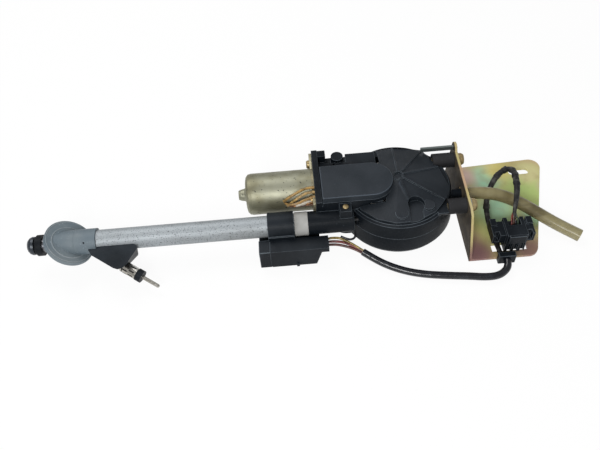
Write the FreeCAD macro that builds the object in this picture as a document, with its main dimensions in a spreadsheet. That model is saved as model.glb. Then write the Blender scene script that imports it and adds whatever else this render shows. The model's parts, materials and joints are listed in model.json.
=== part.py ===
import FreeCAD, Part
import math
import os
import Sketcher

# A motor-driven telescopic car aerial, lying on its foot bracket.
# The mast runs along X: its mouth is at the left, the foot bracket at the right.
# The origin is on the underside of the foot plate, straight below the mast's axis.

doc = FreeCAD.newDocument("PowerAerial")
sheet = doc.addObject("Spreadsheet::Sheet", "Sizes")
V = FreeCAD.Vector
named = {}
nodes = {}


class Size:
    """A number with the formula that ties it to the sheet."""

    def __init__(self, value, text):
        self.value = float(value)
        self.text = text

    def __add__(self, other):
        other = as_size(other)
        return Size(self.value + other.value, f"({self.text} + {other.text})")

    def __sub__(self, other):
        other = as_size(other)
        return Size(self.value - other.value, f"({self.text} - {other.text})")

    def __mul__(self, other):
        other = as_size(other)
        return Size(self.value * other.value, f"({self.text} * {other.text})")

    def __truediv__(self, other):
        other = as_size(other)
        return Size(self.value / other.value, f"({self.text} / {other.text})")

    def __neg__(self):
        return Size(-self.value, f"(0 - {self.text})")

    def __radd__(self, other):
        return as_size(other) + self

    def __rsub__(self, other):
        return as_size(other) - self

    def __rmul__(self, other):
        return as_size(other) * self


def as_size(value):
    """A plain number becomes a size that follows nothing."""
    return value if isinstance(value, Size) else Size(value, f"({value:.6f})")


def size(name, value):
    """One driving dimension: a named cell of the sheet."""
    row = len(named) + 1
    sheet.set(f"A{row}", name)
    sheet.set(f"B{row}", str(value))
    sheet.setAlias(f"B{row}", name)
    named[name] = Size(value, f"Sizes.{name}")
    return named[name]


# Places: stations are measured along the mast from its tip, heights from the foot's underside
mouth = size("mouth", -395.0)
mast_height = size("mast_height", 25.0)
split_height = size("split_height", 19.0)
rim_height = size("rim_height", 34.0)
block_top = size("block_top", 44.0)
drum_station = size("drum_station", 307.5)
gear_gap = size("gear_gap", 0.3)
slide_gap = size("slide_gap", 0.05)
section_gap = size("section_gap", 0.3)
seat_gap = size("seat_gap", 0.05)


def station(value):
    """A place along the mast, in the part's own X."""
    return mouth + value


def place(obj, x, y, z, turn=None):
    """Puts an object at three sizes, turned as given."""
    x, y, z = as_size(x), as_size(y), as_size(z)
    obj.Placement = FreeCAD.Placement(V(x.value, y.value, z.value), turn or FreeCAD.Rotation())
    for axis, where in (("x", x), ("y", y), ("z", z)):
        obj.setExpression(f"Placement.Base.{axis}", where.text)


UPRIGHT = FreeCAD.Rotation(V(0, 1, 0), -90)


def new_body(label, x, y, z, turn=None):
    body = doc.addObject("PartDesign::Body", label)
    body.Label = label
    place(body, x, y, z, turn)
    return body


def sketch_on(body, role, name, lift=None):
    """A sketch on one of the body's own origin planes, lifted along its normal."""
    sketch = body.newObject("Sketcher::SketchObject", name)
    plane = [f for f in body.Origin.OriginFeatures if f.Role == role][0]
    sketch.AttachmentSupport = [(plane, "")]
    sketch.MapMode = "FlatFace"
    if lift is not None:
        lift = as_size(lift)
        sketch.AttachmentOffset = FreeCAD.Placement(V(0, 0, lift.value), FreeCAD.Rotation())
        sketch.setExpression("AttachmentOffset.Base.z", lift.text)
    return sketch


def pin_point(sketch, edge, end, x, y):
    """Holds one point of a sketch at two sizes from the sketch's origin."""
    for kind, where in (("DistanceX", x), ("DistanceY", y)):
        where = as_size(where)
        index = sketch.addConstraint(Sketcher.Constraint(kind, -1, 1, edge, end, where.value))
        sketch.setExpression(f"Constraints[{index}]", where.text)


def polygon(sketch, points):
    """A closed outline of straight sides through points given as pairs of sizes."""
    points = [(as_size(x), as_size(y)) for x, y in points]
    first = sketch.GeometryCount
    count = len(points)
    for i in range(count):
        (x0, y0), (x1, y1) = points[i], points[(i + 1) % count]
        sketch.addGeometry(Part.LineSegment(V(x0.value, y0.value, 0), V(x1.value, y1.value, 0)), False)
    for i in range(count):
        sketch.addConstraint(
            Sketcher.Constraint("Coincident", first + i, 2, first + (i + 1) % count, 1)
        )
    for i, (x, y) in enumerate(points):
        pin_point(sketch, first + i, 1, x, y)


def circle(sketch, x, y, radius):
    x, y, radius = as_size(x), as_size(y), as_size(radius)
    edge = sketch.addGeometry(Part.Circle(V(x.value, y.value, 0), V(0, 0, 1), radius.value), False)
    index = sketch.addConstraint(Sketcher.Constraint("Radius", edge, radius.value))
    sketch.setExpression(f"Constraints[{index}]", radius.text)
    pin_point(sketch, edge, 3, x, y)


def feature(body, kind, sketch, length=None, backwards=False):
    """A pad, pocket, revolution or groove of one sketch."""
    made = body.newObject(f"PartDesign::{kind}", f"{kind}_{sketch.Name}")
    made.Profile = sketch
    if length is not None:
        length = as_size(length)
        made.Length = length.value
        made.setExpression("Length", length.text)
        made.Reversed = backwards
    else:
        made.ReferenceAxis = (sketch, ["H_Axis"])
        made.Angle = 360
    sketch.Visibility = False
    return made


def ring(start, end, inner, outer):
    """The half section of a plain tube."""
    return [(start, inner), (end, inner), (end, outer), (start, outer)]


def turned(label, x, y, z, profile, turn=None):
    """A piece turned about its own X axis, from points given as (along, radius)."""
    body = new_body(label, x, y, z, turn)
    sketch = sketch_on(body, "XY_Plane", f"{label}_section")
    polygon(sketch, profile)
    feature(body, "Revolution", sketch)
    return body


def keep(label, obj):
    """Records a finished piece under the name of its node."""
    obj.Label = label
    nodes[label] = obj
    return obj


def box(name, low, high):
    """A block between two corners."""
    low = [as_size(v) for v in low]
    high = [as_size(v) for v in high]
    made = doc.addObject("Part::Box", name)
    for prop, a, b in zip(("Length", "Width", "Height"), low, high):
        setattr(made, prop, (b - a).value)
        made.setExpression(prop, (b - a).text)
    place(made, *low)
    return made


def cylinder(name, x, y, z, radius, length, turn=None):
    """A cylinder along its own Z from a point."""
    made = doc.addObject("Part::Cylinder", name)
    radius, length = as_size(radius), as_size(length)
    made.Radius, made.Height = radius.value, length.value
    made.setExpression("Radius", radius.text)
    made.setExpression("Height", length.text)
    place(made, x, y, z, turn)
    return made


ALONG_X = FreeCAD.Rotation(V(0, 1, 0), 90)


def fuse(name, parts):
    made = doc.addObject("Part::MultiFuse", name)
    made.Shapes = parts
    made.Refine = True
    return made


def cut(name, base, tools):
    """A base less one tool or several."""
    made = doc.addObject("Part::Cut", name)
    made.Base = base
    made.Tool = tools[0] if len(tools) == 1 else fuse(f"{name}_tools", tools)
    made.Refine = True
    return made


def rounded(name, base, radius, wanted):
    """Rounds the edges of a shape that the test picks out."""
    doc.recompute()
    radius = as_size(radius)
    made = doc.addObject("Part::Fillet", name)
    made.Base = base
    chosen = [i + 1 for i, edge in enumerate(base.Shape.Edges) if wanted(edge)]
    made.Edges = [(i, radius.value, radius.value) for i in chosen]
    return made


# Telescopic mast: three tubes and a rod, each running in the one before
# Each has a rolled lip at its mouth and a guide bush at its foot
mast_travel = size("mast_travel", 190.0)
mast_start = size("mast_start", 11.5)
mast_foot = size("mast_foot", 244.0)
mast_step = size("mast_step", 1.5)
section_radius = size("section_radius", 4.5)
section_wall = size("section_wall", 0.4)
lip_length = size("lip_length", 3.0)
bush_length = size("bush_length", 8.0)
rod_radius = size("rod_radius", 1.5)
rod_foot_radius = size("rod_foot_radius", 1.9)
liner_bore = size("liner_bore", 5.1)


def mast_section(number, outer, bore_before, outer_after):
    """One tube of the mast: a bush that guides it in the tube before, a lip round the one after."""
    start = mast_start - mast_step * number
    end = mast_foot - mast_step * number
    inner = outer - section_wall
    bush = bore_before - slide_gap
    lip = outer_after + slide_gap
    profile = [
        (start, lip), (start + lip_length, lip), (start + lip_length, inner), (end, inner),
        (end, bush), (end - bush_length, bush), (end - bush_length, outer), (start, outer),
    ]
    return turned(f"mast_section_{number + 1}", mouth, 0, mast_height, profile)


radii = [section_radius - (section_wall + section_gap) * i for i in range(3)]
bores = [liner_bore] + [radius - section_wall for radius in radii]
for index, outer in enumerate(radii):
    after = radii[index + 1] if index < 2 else rod_radius
    keep(f"mast_section_{index + 1}", mast_section(index, outer, bores[index], after))

tip_radius = size("tip_radius", 7.6)
tip_length = size("tip_length", 6.6)
rod_start = mast_start - mast_step * 3
rod_end = mast_foot - mast_step * 3
rod_profile = [
    (rod_start, 0), (rod_end, 0), (rod_end, rod_foot_radius),
    (rod_end - bush_length, rod_foot_radius), (rod_end - bush_length, rod_radius),
    (rod_start, rod_radius),
]
keep("mast_rod", turned("mast_rod", mouth, 0, mast_height, rod_profile))
cap_profile = [
    (0, 0), (rod_start, 0), (rod_start, rod_radius), (tip_length, rod_radius), (tip_length, tip_radius * 0.97),
    (tip_length * 0.72, tip_radius), (tip_length * 0.42, tip_radius * 0.9), (tip_length * 0.18, tip_radius * 0.68),
    (tip_length * 0.04, tip_radius * 0.36), (0, tip_radius * 0.15),
]
keep("mast_tip_cap", turned("mast_tip_cap", mouth, 0, mast_height, cap_profile))

# The toothed nylon cord that pushes the rod: its straight run to the drum
cord_radius = size("cord_radius", 1.4)
cord_end = size("cord_end", 294.0)
keep("mast_cord", turned("mast_cord", mouth, 0, mast_height, [
    (rod_end, 0), (cord_end, 0), (cord_end, cord_radius), (rod_end, cord_radius),
]))

# Mouth of the mast: threaded stub and round nut that clamp the wing between nut and head
stub_start = size("stub_start", 9.0)
stub_radius = size("stub_radius", 6.2)
stub_shoulder = size("stub_shoulder", 30.0)
stub_bore = size("stub_bore", 4.9)
tube_start = size("tube_start", 42.0)
tube_end = size("tube_end", 248.0)
tube_radius = size("tube_radius", 8.9)
tube_wall = size("tube_wall", 1.3)
nut_start = size("nut_start", 7.3)
nut_end = size("nut_end", 13.4)
nut_radius = size("nut_radius", 8.7)
nut_lip = size("nut_lip", 1.5)
tube_bore = tube_radius - tube_wall
keep("threaded_stub", turned("threaded_stub", mouth, 0, mast_height, [
    (stub_start, stub_bore), (tube_start, stub_bore), (tube_start, tube_bore),
    (stub_shoulder, tube_bore), (stub_shoulder, stub_radius), (stub_start, stub_radius),
]))
nut_bore = stub_radius + seat_gap
nut_profile = [
    (nut_start, stub_bore), (nut_start + nut_lip, stub_bore), (nut_start + nut_lip, nut_bore),
    (nut_end, nut_bore), (nut_end, nut_radius), (nut_start + nut_lip, nut_radius),
    (nut_start, nut_radius - nut_lip),
]
keep("mast_nut", turned("mast_nut", mouth, 0, mast_height, nut_profile))

# Mounting head: a grey moulded seat with a slanted disc that takes the slope of the wing
head_start = size("head_start", 19.5)
head_barrel = size("head_barrel", 36.0)
head_end = size("head_end", 58.0)
head_radius = size("head_radius", 10.5)
head_nose = size("head_nose", 7.6)
disc_radius = size("disc_radius", 20.5)
disc_thickness = size("disc_thickness", 4.0)
disc_station = size("disc_station", 34.0)
disc_slant = size("disc_slant", 56.0)
head_span = head_barrel - head_start
barrel = turned("head_barrel_body", mouth, 0, mast_height, [
    (head_start, 0), (head_end, 0), (head_end, head_radius), (head_barrel, head_radius),
    (head_barrel - head_span * 0.4, head_radius - (head_radius - head_nose) * 0.18),
    (head_barrel - head_span * 0.75, head_radius - (head_radius - head_nose) * 0.55),
    (head_start, head_nose),
])
disc = doc.addObject("Part::Cylinder", "head_disc")
disc.setExpression("Radius", disc_radius.text)
disc.setExpression("Height", disc_thickness.text)
disc_turn = FreeCAD.Rotation(V(0, 1, 0), 90 - disc_slant.value)
disc_middle = disc_turn.multVec(V(0, 0, -disc_thickness.value / 2))
place(disc, station(disc_station) + disc_middle.x, disc_middle.y, mast_height + disc_middle.z, disc_turn)
stub_hole = cylinder("stub_hole", station(head_start - 15), 0, mast_height, stub_radius + seat_gap,
                     stub_shoulder - head_start + 15, ALONG_X)
tube_hole = cylinder("tube_hole", station(stub_shoulder), 0, mast_height, tube_radius + seat_gap,
                     head_end - stub_shoulder + 1, ALONG_X)
keep("mounting_head", cut("mounting_head", fuse("head_solid", [barrel, disc]), [stub_hole, tube_hole]))

# Guide tube, its insulating liner, and the pale collar in front of the gearbox
keep("guide_tube", turned("guide_tube", mouth, 0, mast_height, ring(tube_start, tube_end, tube_bore, tube_radius)))
keep("mast_liner", turned("mast_liner", mouth, 0, mast_height, ring(
    tube_start + seat_gap, tube_end - 1, liner_bore, tube_bore - seat_gap)))
collar_start = size("collar_start", 219.4)
sleeve_start = size("sleeve_start", 230.6)
collar_radius = size("collar_radius", 9.9)
keep("tube_collar", turned("tube_collar", mouth, 0, mast_height, ring(
    collar_start, sleeve_start - seat_gap, tube_radius + seat_gap, collar_radius)))

# Aerial socket boot on the near side of the tube, and the coaxial plug that leaves it
plug_yaw = size("plug_yaw", -31.3)
plug_dip = size("plug_dip", 14.0)
plug_station = size("plug_station", 76.0)
plug_side = size("plug_side", -19.7)
plug_height = size("plug_height", 16.5)
boot_bottom = size("boot_bottom", 11.0)
boot_top = size("boot_top", 28.0)
plug_turn = FreeCAD.Rotation(V(0, 0, 1), plug_yaw.value) * FreeCAD.Rotation(V(0, 1, 0), plug_dip.value)


def on_plug(label, profile):
    """A turned piece on the plug's own slanted axis."""
    return turned(label, station(plug_station), plug_side, plug_height, profile, plug_turn)


ferrule_start = size("ferrule_start", 2.2)
ferrule_length = size("ferrule_length", 14.0)
ferrule_radius = size("ferrule_radius", 4.9)
insulator_length = size("insulator_length", 5.0)
plug_pin_radius = size("plug_pin_radius", 1.6)
plug_pin_length = size("plug_pin_length", 16.0)
plug_core_radius = size("plug_core_radius", 1.2)
plug_collar_radius = size("plug_collar_radius", 4.2)
BOOT_OUTLINE = [
    (57.7, -1.6), (84.5, -1.2), (87.2, -7.5), (91.6, -11.3), (91.4, -13.9), (85.4, -25.8), (81.6, -31.6),
    (77.6, -32.6), (74.0, -31.0), (55.0, -16.7), (51.8, -11.3), (51.7, -7.2), (53.9, -4.6),
]
boot_sections = []
for name, height, inward, narrowing in (("boot_top_edge", boot_top, 1.0, 1.0), ("boot_keel", boot_bottom, 0.56, 0.84)):
    section = doc.addObject("Sketcher::SketchObject", name)
    place(section, mouth, 0, height)
    polygon(section, [(70.0 + (x - 70.0) * narrowing, y * inward) for x, y in BOOT_OUTLINE])
    boot_sections.append(section)
boot_soft = doc.addObject("Part::Loft", "boot_web")
boot_soft.Sections = boot_sections
boot_soft.Solid = True
boot_soft.Ruled = True
tube_space = cylinder("boot_tube_space", station(40), 0, mast_height, tube_radius + seat_gap, 60, ALONG_X)
boot_bore = on_plug("boot_bore", [
    (-4.0, 0), (14.0, 0), (14.0, ferrule_radius + 0.6), (ferrule_start, ferrule_radius + 0.6),
    (ferrule_start, plug_collar_radius), (-4.0, plug_collar_radius),
])
head_space = cylinder("boot_head_space", station(40), 0, mast_height, head_radius + gear_gap,
                      head_end + gear_gap - 40, ALONG_X)
keep("plug_boot", cut("plug_boot", boot_soft, [tube_space, boot_bore, head_space]))
pin_start = ferrule_start + ferrule_length + insulator_length
keep("plug_collar", on_plug("plug_collar", [
    (-4.0, plug_core_radius), (ferrule_start, plug_core_radius), (ferrule_start, plug_collar_radius),
    (-4.0, plug_collar_radius),
]))
keep("plug_ferrule", on_plug("plug_ferrule", [
    (ferrule_start, plug_core_radius), (ferrule_start + ferrule_length, plug_core_radius),
    (ferrule_start + ferrule_length, ferrule_radius - 0.5),
    (ferrule_start + ferrule_length - 1.5, ferrule_radius),
    (ferrule_start + 3.0, ferrule_radius), (ferrule_start + 2.0, ferrule_radius - 0.7),
    (ferrule_start, ferrule_radius - 0.7),
]))
keep("plug_insulator", on_plug("plug_insulator", ring(
    ferrule_start + ferrule_length, pin_start, plug_core_radius, ferrule_radius + 0.3)))
keep("plug_pin", on_plug("plug_pin", [
    (-4.0, 0), (pin_start + plug_pin_length, 0), (pin_start + plug_pin_length, plug_pin_radius * 0.6),
    (pin_start + plug_pin_length - 1.0, plug_pin_radius), (pin_start, plug_pin_radius),
    (pin_start, plug_core_radius), (-4.0, plug_core_radius),
]))

# Drum housing: a round base shell, a many-sided middle shell joined to the gearbox, a ribbed cover
drum_side = size("drum_side", 26.0)
base_radius = size("base_radius", 47.5)
base_draft = size("base_draft", 1.5)
base_bevel = size("base_bevel", 5.0)
base_floor = size("base_floor", 3.0)
shell_wall = size("shell_wall", 2.6)
shell_bore = size("shell_bore", 34.5)
axle_radius = size("axle_radius", 4.0)
wheel_axle_radius = size("wheel_axle_radius", 2.5)
wheel_side = size("wheel_side", 18.0)
wheel_offset = size("wheel_offset", 43.8)
drum_x = station(drum_station)
wheel_x = drum_x - wheel_offset
lobe_radius = size("lobe_radius", 13.0)
sleeve_radius = size("sleeve_radius", 9.7)
lid_top = size("lid_top", 50.0)
sleeve_end = size("sleeve_end", 268.0)
base_inner = base_radius - base_draft - shell_wall


def upright(label, x, y, profile):
    """A piece turned about a vertical axis, from points given as (height, radius)."""
    return turned(label, x, y, 0, profile, UPRIGHT)


base_cup = upright("base_cup", drum_x, drum_side, [
    (0, 0), (0, base_radius - base_bevel), (base_bevel * 0.3, base_radius - base_bevel * 0.35),
    (base_bevel, base_radius), (split_height, base_radius - base_draft), (split_height, 0),
])
base_lobe = cylinder("base_lobe", wheel_x, wheel_side, 0, lobe_radius, split_height)
base_link = box("base_link", (wheel_x, wheel_side - lobe_radius, 0),
                (drum_x - base_radius * 0.6, wheel_side + lobe_radius, split_height))
base_hollow = upright("base_hollow", drum_x, drum_side, [
    (base_floor, axle_radius + 4.0), (base_floor, base_inner), (split_height + 1, base_inner),
    (split_height + 1, 0), (base_floor + 1.5, 0), (base_floor + 1.5, axle_radius + 4.0),
])
lobe_hollow = cylinder("lobe_hollow", wheel_x, wheel_side, base_floor, lobe_radius - shell_wall, split_height)
link_hollow = box("link_hollow", (wheel_x, wheel_side - lobe_radius + shell_wall, base_floor),
                  (drum_x - base_radius * 0.6, wheel_side + lobe_radius - shell_wall, split_height + 1))
wheel_seat = cylinder("wheel_seat", wheel_x, wheel_side, base_floor / 2, wheel_axle_radius, base_floor)
drum_seat = cylinder("drum_seat", drum_x, drum_side, base_floor / 2, axle_radius, base_floor * 2)
sleeve_room = cylinder("sleeve_room", station(sleeve_start), 0, mast_height, sleeve_radius + seat_gap,
                       sleeve_end - sleeve_start + gear_gap, ALONG_X)
keep("drum_base", cut("drum_base", fuse("base_solid", [base_cup, base_lobe, base_link]),
                      [base_hollow, lobe_hollow, link_hollow, wheel_seat, drum_seat, sleeve_room]))

# Outline of the middle shell and the cover, as offsets from the drum's axis
OUTLINE = [
    (-18.0, 37.5), (2.0, 39.5), (26.0, 34.5), (36.5, 13.5), (42.0, -9.5), (37.0, -21.0), (26.0, -33.5),
    (10.0, -41.5), (-7.0, -42.0), (-21.5, -36.5), (-33.5, -25.5), (-40.0, -10.0), (-40.0, 15.0),
]
outline_scale = size("outline_scale", 1.0)
shell_top_radius = size("shell_top_radius", 44.0)
outline = [(outline_scale * x, outline_scale * y) for x, y in OUTLINE]
block_start = size("block_start", 238.2)
block_flange = size("block_flange", 5.0)
block_near = size("block_near", 3.8)
block_far = size("block_far", 60.0)
flange_far = size("flange_far", 62.5)
block_end = size("block_end", 292.0)
block_bottom = size("block_bottom", 13.4)
lid_start = size("lid_start", 243.6)
lid_side = size("lid_side", 21.5)
lid_radius = size("lid_radius", 17.7)
lid_centre = size("lid_centre", 284.6)
lid_wall = size("lid_wall", 2.6)
motor_side = size("motor_side", 33.5)
motor_height = size("motor_height", 28.0)
channel_radius = size("channel_radius", 2.4)


tooth_module = size("tooth_module", 1.0)
wheel_teeth = size("wheel_teeth", 24)
wheel_bottom = size("wheel_bottom", 25.0)

def prism(name, x, y, bottom, top, points):
    """An upright block with a many-sided outline."""
    body = new_body(name, x, y, 0)
    sketch = sketch_on(body, "XY_Plane", f"{name}_outline", bottom)
    polygon(sketch, points)
    feature(body, "Pad", sketch, as_size(top) - bottom)
    return body


def stadium(name, bottom, top, inset):
    """The long round-ended form of the gearbox lid, drawn in by an inset."""
    radius = lid_radius - inset
    slab = box(f"{name}_slab", (station(lid_start + inset), lid_side - radius, bottom),
               (station(lid_centre), lid_side + radius, top))
    nose = cylinder(f"{name}_nose", station(lid_centre), lid_side, bottom, radius, as_size(top) - bottom)
    return fuse(name, [slab, nose])


shell_outer = upright("shell_outer", drum_x, drum_side, [
    (split_height, 0), (split_height, base_radius - base_draft), (rim_height - 2.0, shell_top_radius + 0.6),
    (rim_height, shell_top_radius - 1.0), (rim_height, 0),
])
gear_block = box("gear_block", (station(block_start), block_near, block_bottom),
                 (station(block_end), block_far, block_top - 4))
lid_seat = stadium("lid_seat", block_bottom + 10, block_top, 0)
block_face = box("block_face", (station(block_start), block_near, block_bottom),
                 (station(block_start + block_flange), flange_far, block_top + 1))
sleeve = cylinder("sleeve_solid", station(sleeve_start), 0, mast_height, sleeve_radius,
                  sleeve_end - sleeve_start, ALONG_X)
lug_post = cylinder("lug_post", station(259.8), block_far - 4.6, block_bottom + 6, 5.2, block_top - block_bottom - 7)
lug_corner = box("lug_corner", (station(block_start), flange_far - 7.0, block_bottom),
                 (station(250.0), flange_far, block_top))
recess_floor = size("recess_floor", 36.5)
far_recess = box("far_recess", (station(block_start + block_flange), block_far - 9.0, recess_floor),
                 (station(267.0), flange_far + 1, lid_top))
far_slope = prism("far_slope", mouth, 0, 20.0, rim_height + 2.0, [
    (264.0, lid_side + lid_radius - 0.5), (block_end + 3.0, lid_side + lid_radius - 0.5), (block_end + 3.0, 63.0),
    (270.0, 58.0), (264.0, 55.5),
])
boss_width = size("boss_width", 9.6)
boss_station = size("boss_station", 261.5)
boss_side = size("boss_side", 0.0)
boss_top = size("boss_top", 42.0)
screw_radius = size("screw_radius", 1.5)
screw_boss = box("screw_boss", (station(boss_station - boss_width / 2), boss_side - boss_width / 2, mast_height),
                 (station(boss_station + boss_width / 2), boss_side + boss_width / 2, boss_top))
spigot_side = size("spigot_side", 16.5)
spigot_height = size("spigot_height", 26.5)
spigot_radius = size("spigot_radius", 4.2)
spigot_end = size("spigot_end", 365.0)
spigot = cylinder("spigot_solid", drum_x + 36.0, spigot_side, spigot_height, spigot_radius,
                  spigot_end - drum_station - 36.0, ALONG_X)
standoff_radius = size("standoff_radius", 6.4)
bolt_height = size("bolt_height", 34.0)
near_bolt = size("near_bolt", -2.0)
far_bolt = size("far_bolt", 48.5)
near_standoff_start = size("near_standoff_start", 344.0)
far_standoff_start = size("far_standoff_start", 340.5)
far_lug = cylinder("far_lug", drum_x + 20.0, far_bolt, bolt_height, standoff_radius,
                   far_standoff_start - drum_station - 20.0, ALONG_X)
near_lug = cylinder("near_lug", drum_x + 28.0, near_bolt, bolt_height, standoff_radius,
                    near_standoff_start - drum_station - 28.0, ALONG_X)
lug_trim = box("lug_trim", (drum_x, -30.0, rim_height), (station(350.0), 80.0, 60.0))

drum_space = cylinder("drum_space", drum_x, drum_side, split_height - 20, shell_bore, 40.0)
tube_seat = cylinder("tube_seat", station(sleeve_start - 1), 0, mast_height, tube_radius + seat_gap,
                     tube_end - sleeve_start + 1 + seat_gap, ALONG_X)
channel = cylinder("channel", station(tube_end - 5), 0, mast_height, channel_radius,
                   drum_station - tube_end - 15, ALONG_X)
gear_space = stadium("gear_space", block_bottom + 6, block_top + 1, lid_wall)
wheel_space = cylinder("wheel_space", wheel_x, wheel_side, block_bottom - 1, lobe_radius - shell_wall, 20.0)
worm_bore = cylinder("worm_bore", station(block_start - 1), motor_side, motor_height, 5.4, 52.0, ALONG_X)
screw_bore = cylinder("boss_bore", station(boss_station), boss_side, boss_top - 8, screw_radius, 9.0)
motor_screw_side = size("motor_screw_side", 19.5)
motor_screw_rise = size("motor_screw_rise", 10.0)
motor_screw_radius = size("motor_screw_radius", 1.8)
motor_screw_depth = size("motor_screw_depth", 4.0)
motor_bores = [
    cylinder(f"motor_bore_{i}", station(block_start - 1), motor_side + motor_screw_side * side,
             motor_height + motor_screw_rise, motor_screw_radius, motor_screw_depth + 1, ALONG_X)
    for i, side in enumerate((-1, 1))
]
recessed_block = cut("recessed_block", gear_block, [far_recess])
shell_union = fuse("housing_union", [
    shell_outer, recessed_block, lug_post, lug_corner, far_slope, lid_seat, block_face, sleeve, screw_boss, spigot,
    cut("lugs", fuse("lug_pair", [far_lug, near_lug]), [lug_trim]),
])
base_room = cylinder("base_room", drum_x, drum_side, -1.0, base_radius + gear_gap, split_height + 1)
lobe_room = cylinder("lobe_room", wheel_x, wheel_side, -1.0, lobe_radius + gear_gap, split_height + 1)
link_room = box("link_room", (wheel_x, wheel_side - lobe_radius - gear_gap, -1.0),
                (drum_x - base_radius * 0.6, wheel_side + lobe_radius + gear_gap, split_height))
wheel_room = cylinder("wheel_room", wheel_x, wheel_side, wheel_bottom - 0.5,
                      tooth_module * wheel_teeth / 2 + tooth_module * 1.25, 20.0)
standoff_seats = [
    cylinder("far_seat", station(far_standoff_start), far_bolt, bolt_height, standoff_radius + gear_gap, 20.0, ALONG_X),
    cylinder("near_seat", station(near_standoff_start), near_bolt, bolt_height, standoff_radius + gear_gap, 20.0, ALONG_X),
]
keep("gear_housing", cut("gear_housing", shell_union, [
    drum_space, tube_seat, channel, gear_space, worm_bore, screw_bore, base_room, lobe_room, link_room,
    wheel_room, wheel_space,
] + motor_bores + standoff_seats))

# Gearbox lid: a flat raised cover with a round end
lid_rim = size("lid_rim", 1.2)
lid_solid = stadium("lid_solid", block_top, lid_top, 0)
lid_hollow = stadium("lid_hollow", block_top - 1, lid_top - 2.2, lid_wall)
lid_cut = cut("lid_cut", lid_solid, [lid_hollow])
keep("gearbox_lid", rounded("gearbox_lid", lid_cut, lid_rim, lambda e: (
    e.BoundBox.ZMin > lid_top.value - 0.01 and e.Length > 1)))

# Ribbed drum cover: flat facets rise from the rim to the hub, with a fin along each edge between them
hub_height = size("hub_height", 45.0)
hub_radius = size("hub_radius", 5.0)
cover_edge = size("cover_edge", 2.2)
cover_skin = size("cover_skin", 2.4)
fin_width = size("fin_width", 1.5)
fin_rise = size("fin_rise", 1.3)


def outline_sketch(name, height, points):
    """A free sketch at a height, for a loft."""
    sketch = doc.addObject("Sketcher::SketchObject", name)
    place(sketch, drum_x, drum_side, height)
    polygon(sketch, points)
    return sketch


def facets(name, lift, drop):
    """The faceted roof of the cover, lifted, or lowered for its inside."""
    low = outline_sketch(f"{name}_low", rim_height + cover_edge + lift, [(x * drop, y * drop) for x, y in outline])
    small = [
        (hub_radius * (x / math.hypot(x, y)), hub_radius * (y / math.hypot(x, y))) for x, y in OUTLINE
    ]
    high = outline_sketch(f"{name}_high", hub_height + lift, small)
    made = doc.addObject("Part::Loft", name)
    made.Sections = [low, high]
    made.Solid = True
    made.Ruled = True
    return made


cover_rim = prism("cover_rim", drum_x, drum_side, rim_height, rim_height + cover_edge, outline)
cover_roof = facets("cover_roof", 0, 1.0)
fin_roof = facets("fin_roof", fin_rise, 1.0)
fin_base = prism("fin_base", drum_x, drum_side, rim_height + cover_edge, rim_height + cover_edge + fin_rise, outline)
FIN_ANGLES = [88.0, 52.5, 20.5, -32.7, -77.2]
fins = []
for index, angle in enumerate(FIN_ANGLES):
    blade = doc.addObject("Part::Box", f"fin_blade_{index}")
    blade.setExpression("Width", fin_width.text)
    blade.Length, blade.Height = 60, 30
    blade_turn = FreeCAD.Rotation(V(0, 0, 1), angle)
    blade_shift = blade_turn.multVec(V(0, -fin_width.value / 2, 0))
    place(blade, drum_x + blade_shift.x, drum_side + blade_shift.y, rim_height, blade_turn)
    fins.append(blade)
fin_solid = doc.addObject("Part::MultiCommon", "fin_solid")
fin_solid.Shapes = [fuse("fin_prism", [fin_roof, fin_base]), fuse("fin_blades", fins)]
hub_post = cylinder("hub_post", drum_x, drum_side, rim_height, hub_radius, hub_height - rim_height + 0.8)
hub_recess = cylinder("hub_recess", drum_x, drum_side, hub_height - 0.6, hub_radius - 1.8, 5.0)
hub_seat = cylinder("hub_seat", drum_x, drum_side, rim_height - 1, axle_radius, hub_height - rim_height - 1.0)
roof_hollow = facets("roof_hollow", -cover_skin, 0.8)
rim_hollow = cylinder("rim_hollow", drum_x, drum_side, rim_height - 1, shell_bore, cover_edge + 1.01 - cover_skin + 1)
recess_station = size("recess_station", 318.6)
recess_side = size("recess_side", -0.5)
recess_radius = size("recess_radius", 6.8)
dimple = fuse("dimple", [
    cylinder("dimple_round", station(recess_station), recess_side, rim_height + 1.2, recess_radius, 20.0),
    box("dimple_mouth", (station(recess_station - 6.4), recess_side - 26.0, rim_height + 1.2),
        (station(recess_station + 4.6), recess_side, rim_height + 20.0)),
])
stud = cylinder("stud", station(305.8), -8.2, rim_height, 5.2, 4.4)
lobe = cylinder("lobe", station(328.2), -2.2, rim_height, 5.0, 5.2)
lid_clear = stadium("lid_clear", rim_height - 1, lid_top, -seat_gap)
block_clear = box("block_clear", (station(block_start), block_near - seat_gap, rim_height - 1),
                  (station(block_end + 3.0 + seat_gap), block_far + 3.0 + seat_gap, lid_top))
boss_clear = box("boss_clear", (station(boss_station - boss_width / 2) - seat_gap, -20.0, rim_height - 1),
                 (station(boss_station + boss_width / 2) + seat_gap, block_near + 5, lid_top))
cup_core = cylinder("cup_core", station(recess_station), recess_side, rim_height - 1, recess_radius + 1.6, 30.0)
inner_hollow = cut("inner_hollow", roof_hollow, [cup_core])
cover_body = cut("cover_body", fuse("cover_union", [cover_rim, cover_roof, stud, lobe]), [inner_hollow])
keep("drum_cover", cut("drum_cover", fuse("cover_all", [cover_body, fin_solid, hub_post]), [
    dimple, lid_clear, block_clear, boss_clear, hub_recess, hub_seat,
] + standoff_seats))

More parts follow.
